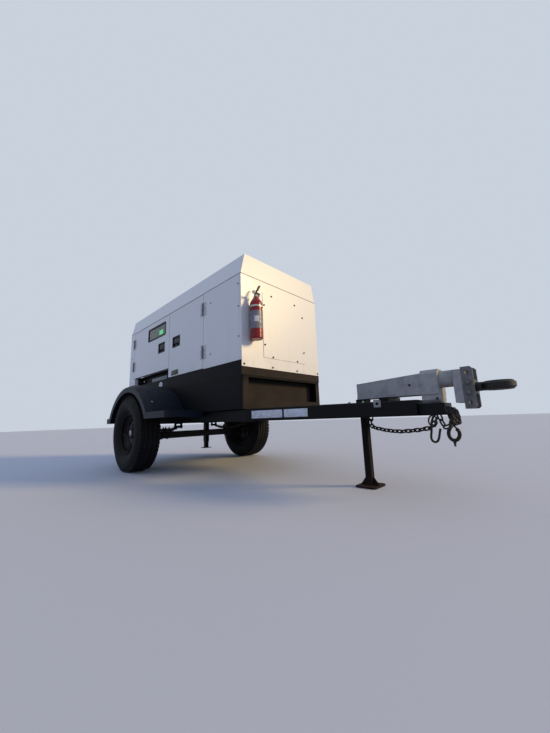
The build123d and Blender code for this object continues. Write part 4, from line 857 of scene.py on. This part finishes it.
def fasten_canopy():
    """Bolts of the front cover and of the walls' lower edges, and screws along the side panels."""
    cover = ((-165, 1638), (171, 1638), (288, 1528), (288, 1152), (-164, 1048), (179, 1048), (-264, 1153),
             (-264, 1528))
    front = edge_of("front_cover", 1, 0)
    fasten("cover_bolts", [(front, y, z) for y, z in cover], AHEAD, chain_black, M8_BOLT)
    foot_z = 953
    places, aims = [], []
    for x, way in ((FRONT_X, 1), (REAR_X, -1)):
        places += [(x, y, foot_z) for y in (-505, -171, 171, 505)]
        aims += [(way, 0, 0)] * 4
    fasten("wall_bolts", places, aims, chain_black, M8_BOLT)
    panel = ((406, 1669), (406, 1461), (406, 1193), (-20, 1621), (-20, 1114), (-1985, 1640), (-1985, 1400))
    places, aims = [], []
    for side in (-1, 1):
        for x, z in panel:
            places.append((x, side * HALF_WIDTH, z))
            aims.append((0, side, 0))
    fasten("side_screws", places, aims, chain_black, M6_SCREW)


# The tyre's section, as radius and distance from its middle plane: its crown, how deep the grooves
# are, and one flank from the bead's foot to the tread's edge
CROWN, GROOVE = 397.0, 7.5
FLANK = ((200, 80), (204, 96), (196, 86), (190, 84), (190, 76), (208, 70), (222, 84), (236, 100), (262, 116),
         (300, 122.5), (318, 121), (343, 116.5), (358, 111), (371, 104), (381, 96), (CROWN - GROOVE, 84))
RIBS = ((-46, 24), (0, 30), (46, 24))
TREAD_COUNT, TREAD_ACROSS = 60, 82


def tyre_shapes(side, hub):
    """The tyre's carcass, the rubbing ring on its outer wall, and the ribs round its crown."""
    carcass = [(radius, -across) for radius, across in FLANK] + [*reversed(FLANK)]
    outlines = [carcass, [(radius, side * across) for radius, across in
                          ((341, 117), (338, 119.5), (334, 119.8), (331, 118.5))]]
    root, top = CROWN - GROOVE - 1, CROWN - 0.3
    for across, width in RIBS:
        low, high = across - width / 2, across + width / 2
        outlines.append(((root, low), (top - 1, low), (top, low + 1.5), (top, high - 1.5), (top - 1, high),
                         (root, high)))
    return [turned(outline, hub, TO_FAR, segments=120) for outline in outlines]


def dress_wheels():
    """Tyres with ribs and shoulder blocks, wheel nuts, and the bright grease cap on each hub."""
    for side, end in ((-1, "near"), (1, "far")):
        body = f"wheel_{end}"
        hub = Vector((AXLE_X, side * WHEEL_Y, AXLE_Z))
        carcass = piece(f"tyre_carcass_{end}", tyre_shapes(side, hub), finishes["tyre"], body)
        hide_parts(f"tyre_{end}")
        places, aims = [], []
        for step in range(TREAD_COUNT):
            for edge, lead in ((-TREAD_ACROSS, 0.0), (TREAD_ACROSS, 0.5)):
                turn = math.tau * (step + lead) / TREAD_COUNT
                out = Vector((math.cos(turn), 0, math.sin(turn)))
                places.append(hub + (CROWN - 1.5) * out + Vector((0, edge, 0)))
                aims.append(out)
        grow(f"tread_blocks_{end}", tread, marks(places, aims), finishes["tyre"],
             {"Block length": 33.0, "Block width": 34.0, "Block height": 13.0}, body)
        studs = round_points(hub + Vector((0, side * 8, 0)), (61, 0, 0), (0, 0, 61), 6)
        fasten(f"wheel_nuts_{end}", studs, (0, side, 0), finishes["rim"], WHEEL_NUT, body)
        cap = ((39.5, 31), (42.5, 31.5), (41.8, 36), (39, 45), (36, 53), (29, 59), (15, 62.5), (0, 63.5))
        piece(f"grease_cap_{end}", [turned(cap, hub, (0, side, 0))], zinc, body)
        valve = ((0, 0), (4, 0), (4, 22), (5.2, 23), (5.2, 34), (3, 37), (0, 37))
        stem = turned(valve, hub + Vector((0, side * 20, 168)), (0.0, side, -0.25), segments=14)
        piece(f"tyre_valve_{end}", [stem], finishes["seal_rubber"], body)


def fasten_springs():
    """U-bolts that hold the axle to the springs, their nuts, and the heads of the spring pins."""
    spring_y, reach, bend_z, end_z, nut_z = 450, 44, 354, 428, 429.3
    forged = finishes["forged_black"]
    shapes, nuts = [], []
    for side in (-1, 1):
        for edge in (-35.2, 35.2):
            y = side * spring_y + edge
            bend = round_points((AXLE_X, y, bend_z), (reach, 0, 0), (0, 0, reach), 12, (180, 360))
            ends = [(AXLE_X + way * reach, y, end_z) for way in (-1, 1)]
            shapes.append(rod([ends[0], *bend, ends[1]], 5.0, smooth=False))
            nuts += [(AXLE_X + way * reach, y, nut_z) for way in (-1, 1)]
    piece("spring_u_bolts", shapes, forged)
    fasten("u_bolt_nuts", nuts, UP, forged, U_BOLT_NUT)
    pin_reach, pin_half, pin_z = 330, 38, 446.8
    places, aims = [], []
    for side in (-1, 1):
        for way in (-1, 1):
            for out in (1, -1):
                places.append((AXLE_X + way * pin_reach, side * (spring_y + out * pin_half), pin_z))
                aims.append((0, side * out, 0))
    fasten("spring_pin_heads", places, aims, forged, PIN_HEAD)


def fasten_coupler():
    """Through-bolts of the lunette in its bracket, and bolts of the leg's cross plates."""
    bracket_x, half = middle_of("coupler_bracket")[0], edge_of("coupler_bracket", 1, 1)
    for name, side, sizes in (("lunette_bolts", -1, M16_BOLT), ("lunette_nuts", 1, M16_NUT)):
        places = [(bracket_x, side * half, z) for z in (605.5, 663.5)]
        fasten(name, places, (0, side, 0), oiled_grey, sizes, "coupler")
    leg_x = middle_of("stand_leg")[0]
    plates = [(leg_x + x, y, 582) for x in (-55, 55) for y in (-110, 110)]
    fasten("cross_plate_bolts", plates, UP, zinc, M10_BOLT)


def hung_from(place, outline):
    """Points in the upright plane through a place, each its distance ahead of it and its height."""
    return [place + Vector((x, 0, z)) for x, z in outline]


def hang_safety_chain():
    """Safety chain put away under the actuator: a slack run from the leg, a bunch, and two hooks.
    Its links and hooks are rigid forgings."""
    run = ((1239, 46, 474), (1242, 40, 440), (1256, 26, 415), (1300, 12, 402), (1380, 0, 388),
           (1461, -8, 382), (1502, -14, 384), (1580, -26, 391), (1655, -40, 404), (1690, -52, 424),
           (1712, -60, 456))
    bunch = ((1792, -62, 510), (1798, -78, 484), (1800, -70, 446), (1800, -44, 428), (1806, -24, 460),
             (1794, -14, 508), (1800, 8, 494), (1808, 22, 450), (1806, 44, 434), (1800, 64, 466),
             (1792, 58, 506), (1800, 34, 500), (1812, 14, 462), (1812, -16, 434), (1806, -48, 450),
             (1798, -56, 492), (1796, -34, 512), (1804, -10, 496), (1800, -18, 466), (1790, -22, 446))
    side_loop = ((1742, -88, 470), (1752, -96, 440), (1770, -98, 414), (1790, -90, 424), (1800, -84, 452),
                 (1796, -88, 486), (1788, -92, 510))
    grow("safety_chain", chain, lines(run, bunch, side_loop), chain_black,
         {"Pitch": 31.0, "Rod radius": 5.0, "Link width": 34.0})
    eye = round_points((1239, 46, 478), (14, 0, 0), (0, 0, 14))
    tow = Vector((1728, -100, 0))
    loop = hung_from(tow, ((-16, 478), (-30, 452), (-34, 424), (-40, 380), (-46, 348), (-36, 326),
                           (-14, 326), (-2, 348), (6, 384), (12, 404)))
    link = round_points(tow + Vector((-26, 0, 452)), (22, 0, 0), (0, 12, 30))
    hanger = [tow + Vector(place) for place in ((-16, 0, 478), (-14, 22, 486), (-14, 45, 484))]
    bars = [rod(eye, 5, closed=True), rod(loop, 6.5), rod(link, 4.5, closed=True), rod(hanger, 6)]
    piece("chain_hooks", bars, chain_black)
    point = Vector((1784, -22, 0))
    hook = hung_from(point, ((0, 452), (2, 424), (-14, 404), (-26, 378), (-22, 346), (0, 328),
                             (24, 340), (34, 366), (30, 392), (18, 398)))
    tongue = hung_from(point, ((4, 418), (14, 412), (22, 400), (26, 386)))
    tip = ((0, 0), (9, 0), (8, 14), (5, 24), (7, 32), (0, 34))
    tip = turned(tip, point + Vector((2, 0, 330)), (0, 0, -1), segments=16)
    piece("slip_hook", [rod(hook, 10.5, sides=4), rod(tongue, 5), tip], chain_black)


def dress_extinguisher():
    """Bare label sleeve and patch, neck collar, lever grips, pressure gauge, pull ring and seal."""
    x, y, _ = middle_of("extinguisher_bottle")
    sleeve = ((54.15, 1243), (54.5, 1243.4), (54.5, 1399.6), (54.15, 1400))
    sleeve = turned(sleeve, (x, y, 0), UP, segments=64)
    piece("extinguisher_sleeve", [sleeve], sleeve_film)
    patch = ((54.55, 1300), (54.9, 1300.3), (54.9, 1349.7), (54.55, 1350))
    patch = turned(patch, (x, y, 0), UP, segments=16, sweep=(118, 162))
    piece("extinguisher_patch", [patch], white_film)
    collar = ((15, 1536), (19, 1537), (20, 1541), (20, 1547), (18, 1550), (14.5, 1550))
    piece("extinguisher_collar", [turned(collar, (x, y, 0), UP, segments=32)], zinc)
    lever = Vector((0, math.cos(math.radians(60)), math.sin(math.radians(60))))
    root = Vector((x, y, 1574))
    grips = [block((24, 15, 62), root + 58 * lever, 4.5, lever),
             block((24, 14, 30), root + Vector((0, 26, -3)), 4.0, (0, 1, -0.14))]
    piece("lever_grips", grips, finishes["latch_black"])
    gauge, gauge_facing = Vector((x + 6, y - 29, 1573)), (1, -0.25, 0)
    bezel = ((0, -7), (13, -7), (14.5, -5), (14.5, 4), (13, 6), (12, 5), (12, 2.5), (0, 2.5))
    stem = rod([gauge + Vector((0, 22, -3)), gauge + Vector((0, 8, -1))], 4.0, smooth=False)
    piece("gauge_case", [turned(bezel, gauge, gauge_facing, segments=32), stem], zinc)
    face = turned(((11.8, 2.6), (11.8, 2.9), (0, 2.9)), gauge, gauge_facing, segments=32)
    piece("gauge_face", [face], signal_plastic("white_dial", "#E8E6DE"))
    green = turned(((10.2, 2.95), (7, 3.1), (7, 2.95)), gauge, gauge_facing, segments=10, sweep=(60, 120))
    piece("gauge_green_arc", [green], signal_plastic("green_print", "#2E7A45"))
    ring = round_points((x + 4, y + 32, 1552), (0, 11, 0), (0, 0, 13), 14)
    pin = [(x + 2, y - 20, 1566), (x + 3, y + 21, 1565)]
    piece("pull_pin", [rod(ring, 1.6, closed=True), rod(pin, 2.2, smooth=False)], zinc)
    tie = round_points((x, y, 1556), (15, 0, 0), (0, 15, 6))
    piece("tamper_seal", [rod(tie, 1.8, closed=True)], signal_plastic("white_tie", "#D9D5C6"))


def lay_plates():
    """Bare plates: two on the drawbar, one low on the front door, and the oval one on the skid."""
    strips = [block((long, 59.0, 1.2), on_beam(ahead, 532.8, 0.6), 0.4, BEAM_FACING)
              for ahead, long in ((183.0, 266.0), (412.0, 188.0))]
    piece("drawbar_plates_bare", strips, white_film)
    plate = block((156, 55, 1.2), (-719.5, -HALF_WIDTH - 0.6, 1034.5), 0.4, TO_NEAR)
    piece("door_plate_bare", [plate], black_film, "front_door_leaf")
    oval = turned(((0, 0), (36, 0), (36, 1.0), (34.5, 1.6), (0, 1.6)), (0, 0, 0), TO_NEAR, segments=48)
    stretch = Matrix.Diagonal((1.3, 1.0, 1.0, 1.0))
    oval.transform(Matrix.Translation((-1053.5, -HALF_WIDTH, 930)) @ stretch)
    piece("skid_plate_oval", [oval], white_film)


def dress_controls():
    """The lit display and its keys, and the stop button, knobs, meter and screws of the cabinet
    behind the window."""
    x, z, front = FRONT_X - 1602, 1610.0, edge_of("control_cabinet", 0, 1)
    glass = block((114, 56, 1.6), (x - 22, front + 3.4, z - 2), 0.5, TO_NEAR)
    piece("display_glass", [glass], lit_display())
    keys = [(x + 62 + 17 * column, front, z + 24 - 24 * row) for column in range(2) for row in range(3)]
    keys += [(x - 66 + 22 * step, front, z - 45) for step in range(5)]
    fasten("controller_keys", keys, TO_NEAR, signal_plastic("grey_key", "#A9ABAA"), BUTTON)
    panel, nylon = -482.0, finishes["latch_black"]
    stop = ((0, 0), (24, 0), (24, 3), (16, 4), (14, 14), (20, 16), (21, 22), (16, 27), (0, 28))
    button = turned(stop, (-1060, panel, 1580), TO_NEAR)
    piece("stop_button", [button], signal_plastic("red_button", "#B01C1C"))
    knob = ((0, 0), (17, 0), (16, 14), (13, 17), (0, 17))
    places = [(-1060, panel, 1650), *((-1420 + 70 * step, panel, 1400) for step in range(3))]
    knobs = [turned(knob, place, TO_NEAR, segments=24) for place in places]
    piece("control_knobs", knobs, nylon)
    meter, meter_place = ((0, 0), (36, 0), (37, 2), (37, 9), (34, 11), (32, 9), (0, 9)), (-1390, panel, 1610)
    piece("panel_meters", [turned(meter, meter_place, TO_NEAR, segments=36)], nylon)
    dial = turned(((31, 9.2), (31, 9.8), (0, 9.8)), meter_place, TO_NEAR, segments=36)
    piece("meter_dials", [dial], signal_plastic("cream_dial", "#DAD6C8"))
    screws = [(x, panel, z) for x in (-1478, -957) for z in (1130, 1410, 1700)]
    fasten("cabinet_screws", screws, TO_NEAR, zinc, M6_SCREW)


def dress_bay():
    """Brass studs and nuts on the output lugs, the low guard plate before them, and the plate that
    closes the bay's rear end."""
    studs = [(FRONT_X - 1806.5 + 90 * step, -443, 1047) for step in range(-2, 3)]
    # The lug studs' brass is darkened partly as painted shade.
    fasten("lug_studs", studs, TO_NEAR, brass(), LUG_STUD)
    # The bay's end plate takes the same near-black coat, painted shade of the bay.
    end_plate = block((3.0, 80.0, 112.0), (-1859.3, -448, 1046), 0.6)
    piece("bay_end_plate", [end_plate], bay_painted_shade)
    guard = block((415, 54, 2.0), (-1203, -484, 1019), 0.6, TO_NEAR)
    piece("bay_guard", [guard], finishes["cabinet_grey"])


def line_doors():
    """Sound foam inside both near-side doors."""
    finish, cell = foam(), 5
    mats = (("front", -510.5, 1374.5, 660, 700), ("rear", -1397.0, 1310.0, 980, 380))
    for door, x, z, length, height in mats:
        sizes = {"Length": length, "Height": height, "Thickness": 3.0, "Peak pitch": 20.0,
                 "Peak height": 6.0, "Columns": int(length / cell) + 1, "Rows": int(height / cell) + 1}
        grow(f"{door}_door_foam", foam_peaks, marks([(x, -501.5, z)], TO_FAR), finish, sizes,
             f"{door}_door_leaf")


def seal_doors():
    """Black sponge seals over and behind the gaps round the doors, black strips along the seam under
    the roof's edge, and the grey face of the tab on the near drawbar beam with its dark hole."""
    seal_top, bead_z = 1746, 1759.5
    strips = []
    for side in (-1, 1):
        strips.append(block((1764, 22, 6.4), (-1033.0, side * 514, 1756.2), 1.2))
        for x, low in ((-147.5, 1006), (-874.5, 1110), (-1919.5, 1110)):
            strips.append(block((24, 6, seal_top - low), (x, side * 485.5, (seal_top + low) / 2), 1.2))
        # Black strips along the seam under the roof's edge, at each side, which draw the seam as a dark
        # line.
        for x, long in ((149.0, 584), (-1991.5, 142)):
            strips.append(block((long, 1.0, 5.0), (x, side * (HALF_WIDTH + 0.4), bead_z), 0.3))
    # The same black strips along the seam across the front and rear walls.
    for x in (FRONT_X + 0.4, REAR_X - 0.4):
        strips.append(block((1.0, 1058, 5.0), (x, 0, bead_z), 0.3))
    piece("door_seals", strips, finishes["seal_rubber"])
    tab = on_beam(962, 568.0, 10.5)
    face = block((46, 46, 1.0), tab, 0.3, BEAM_FACING)
    piece("drawbar_tab_face", [face], finishes["actuator_grey"])
    hole = ((0, 0), (10.5, 0), (10.5, 0.7), (9, 1.0), (8, 0.6), (0, 0.6))
    hole = turned(hole, tab, BEAM_FACING, segments=24)
    piece("drawbar_tab_hole", [hole], finishes["frame_black"])


def weld_frame():
    """Weld runs where the cross members meet the rails, the drawbar meets the set and the lifting
    eye meets the roof."""
    eye_rear, eye_front, roof_z = edge_of("lifting_eye", 0, 0), edge_of("lifting_eye", 1, 0), 1957
    runs = []
    for side in (-1, 1):
        for x in (-1460.5, -1360.5, -800.5, -700.5, 332.5, 432.5):
            runs.append(((x, side * 400, 494), (x, side * 400, 570)))
            runs.append(((x, side * 399, 492), (x, side * 340, 492)))
        for z in (482, 582):
            runs.append(((FRONT_X, side * 420, z), (FRONT_X, side * 500, z)))
        runs.append(((eye_rear, side * 45, roof_z), (eye_front, side * 45, roof_z)))
    grow("weld_runs", weld, lines(*runs), finishes["frame_black"],
         {"Bead width": 7.0, "Ripple": 3.5})


def fasten_fenders():
    """The small bolt on each fender's front slope."""
    out = Vector((467, 0, 415)).normalized()
    places = [Vector((-1037.5, side * 829, 281)) + 625.4 * out for side in (-1, 1)]
    fasten("fender_bolts", places, out, zinc, M8_BOLT)


fasten_canopy()
dress_wheels()
fasten_springs()
fasten_coupler()
hang_safety_chain()
dress_extinguisher()
lay_plates()
dress_controls()
dress_bay()
line_doors()
seal_doors()
weld_frame()
fasten_fenders()


# Floor, light and backdrop

FLOOR_SEEN, FLOOR_IN_SOFT_LIGHT = "#C6C8CB", "#9C9EA6"
SOFT_LIGHT, SOFT_STRENGTH = "#AEBFE6", 0.84
BACKDROP = "#C9D1DD"
LAMP_COLOUR, LAMP_STRENGTH, LAMP_WIDTH = "#FFDF9E", 2.35, 14
LAMP_PLACE = (6.4, 4.6, 3.2)


def seen_or_mirrored(tree):
    """One where the camera, a reflection or a clear pane looks, and none for soft light."""
    ray = add(tree, "ShaderNodeLightPath").node.outputs
    return worked(tree, ray["Is Camera Ray"], ("MAXIMUM", ray["Is Transmission Ray"]),
                  ("MAXIMUM", ray["Is Glossy Ray"]))


def add_floor():
    """Pale studio floor of fine cast concrete, large enough to meet the horizon. It gives a plain
    matt ground that keeps the shadow, and it is greyer to soft light."""
    reach = 60.0
    floor = bpy.data.objects.new("floor", bpy.data.meshes.new("floor"))
    corners = [(-reach, -reach, 0), (reach, -reach, 0), (reach, reach, 0), (-reach, reach, 0)]
    floor.data.from_pydata(corners, [], [(0, 1, 2, 3)])
    material, tree = finish_of("studio_floor", FLOOR_SEEN, 0.8)
    wear(tree, covered(tree, FLOOR_IN_SOFT_LIGHT, FLOOR_SEEN, seen_or_mirrored(tree)))
    floor.data.materials.append(material)
    bpy.context.scene.collection.objects.link(floor)


def light_the_studio():
    """Cool soft light all round, and one wide warm lamp ahead of the front wall, on the far side."""
    world = bpy.data.worlds.new("studio")
    world.use_nodes = True
    tree = world.node_tree
    tree.nodes.clear()
    ambient = add(tree, "ShaderNodeBackground", {"Color": linear(SOFT_LIGHT), "Strength": SOFT_STRENGTH})
    backdrop = add(tree, "ShaderNodeBackground", {"Color": linear(BACKDROP), "Strength": 1.0})
    mixed = add(tree, "ShaderNodeMixShader", {0: seen_or_mirrored(tree), 1: ambient, 2: backdrop})
    add(tree, "ShaderNodeOutputWorld", {0: mixed})
    bpy.context.scene.world = world
    lamp = bpy.data.lights.new("front_lamp", "SUN")
    lamp.angle = math.radians(LAMP_WIDTH)
    lamp.energy = LAMP_STRENGTH
    lamp.color = linear(LAMP_COLOUR)[:3]
    stand = bpy.data.objects.new("front_lamp", lamp)
    stand.location = LAMP_PLACE
    stand.rotation_euler = (-Vector(LAMP_PLACE)).to_track_quat("-Z", "Y").to_euler()
    bpy.context.scene.collection.objects.link(stand)
    bpy.context.scene.view_settings.view_transform = "Standard"


add_floor()
light_the_studio()
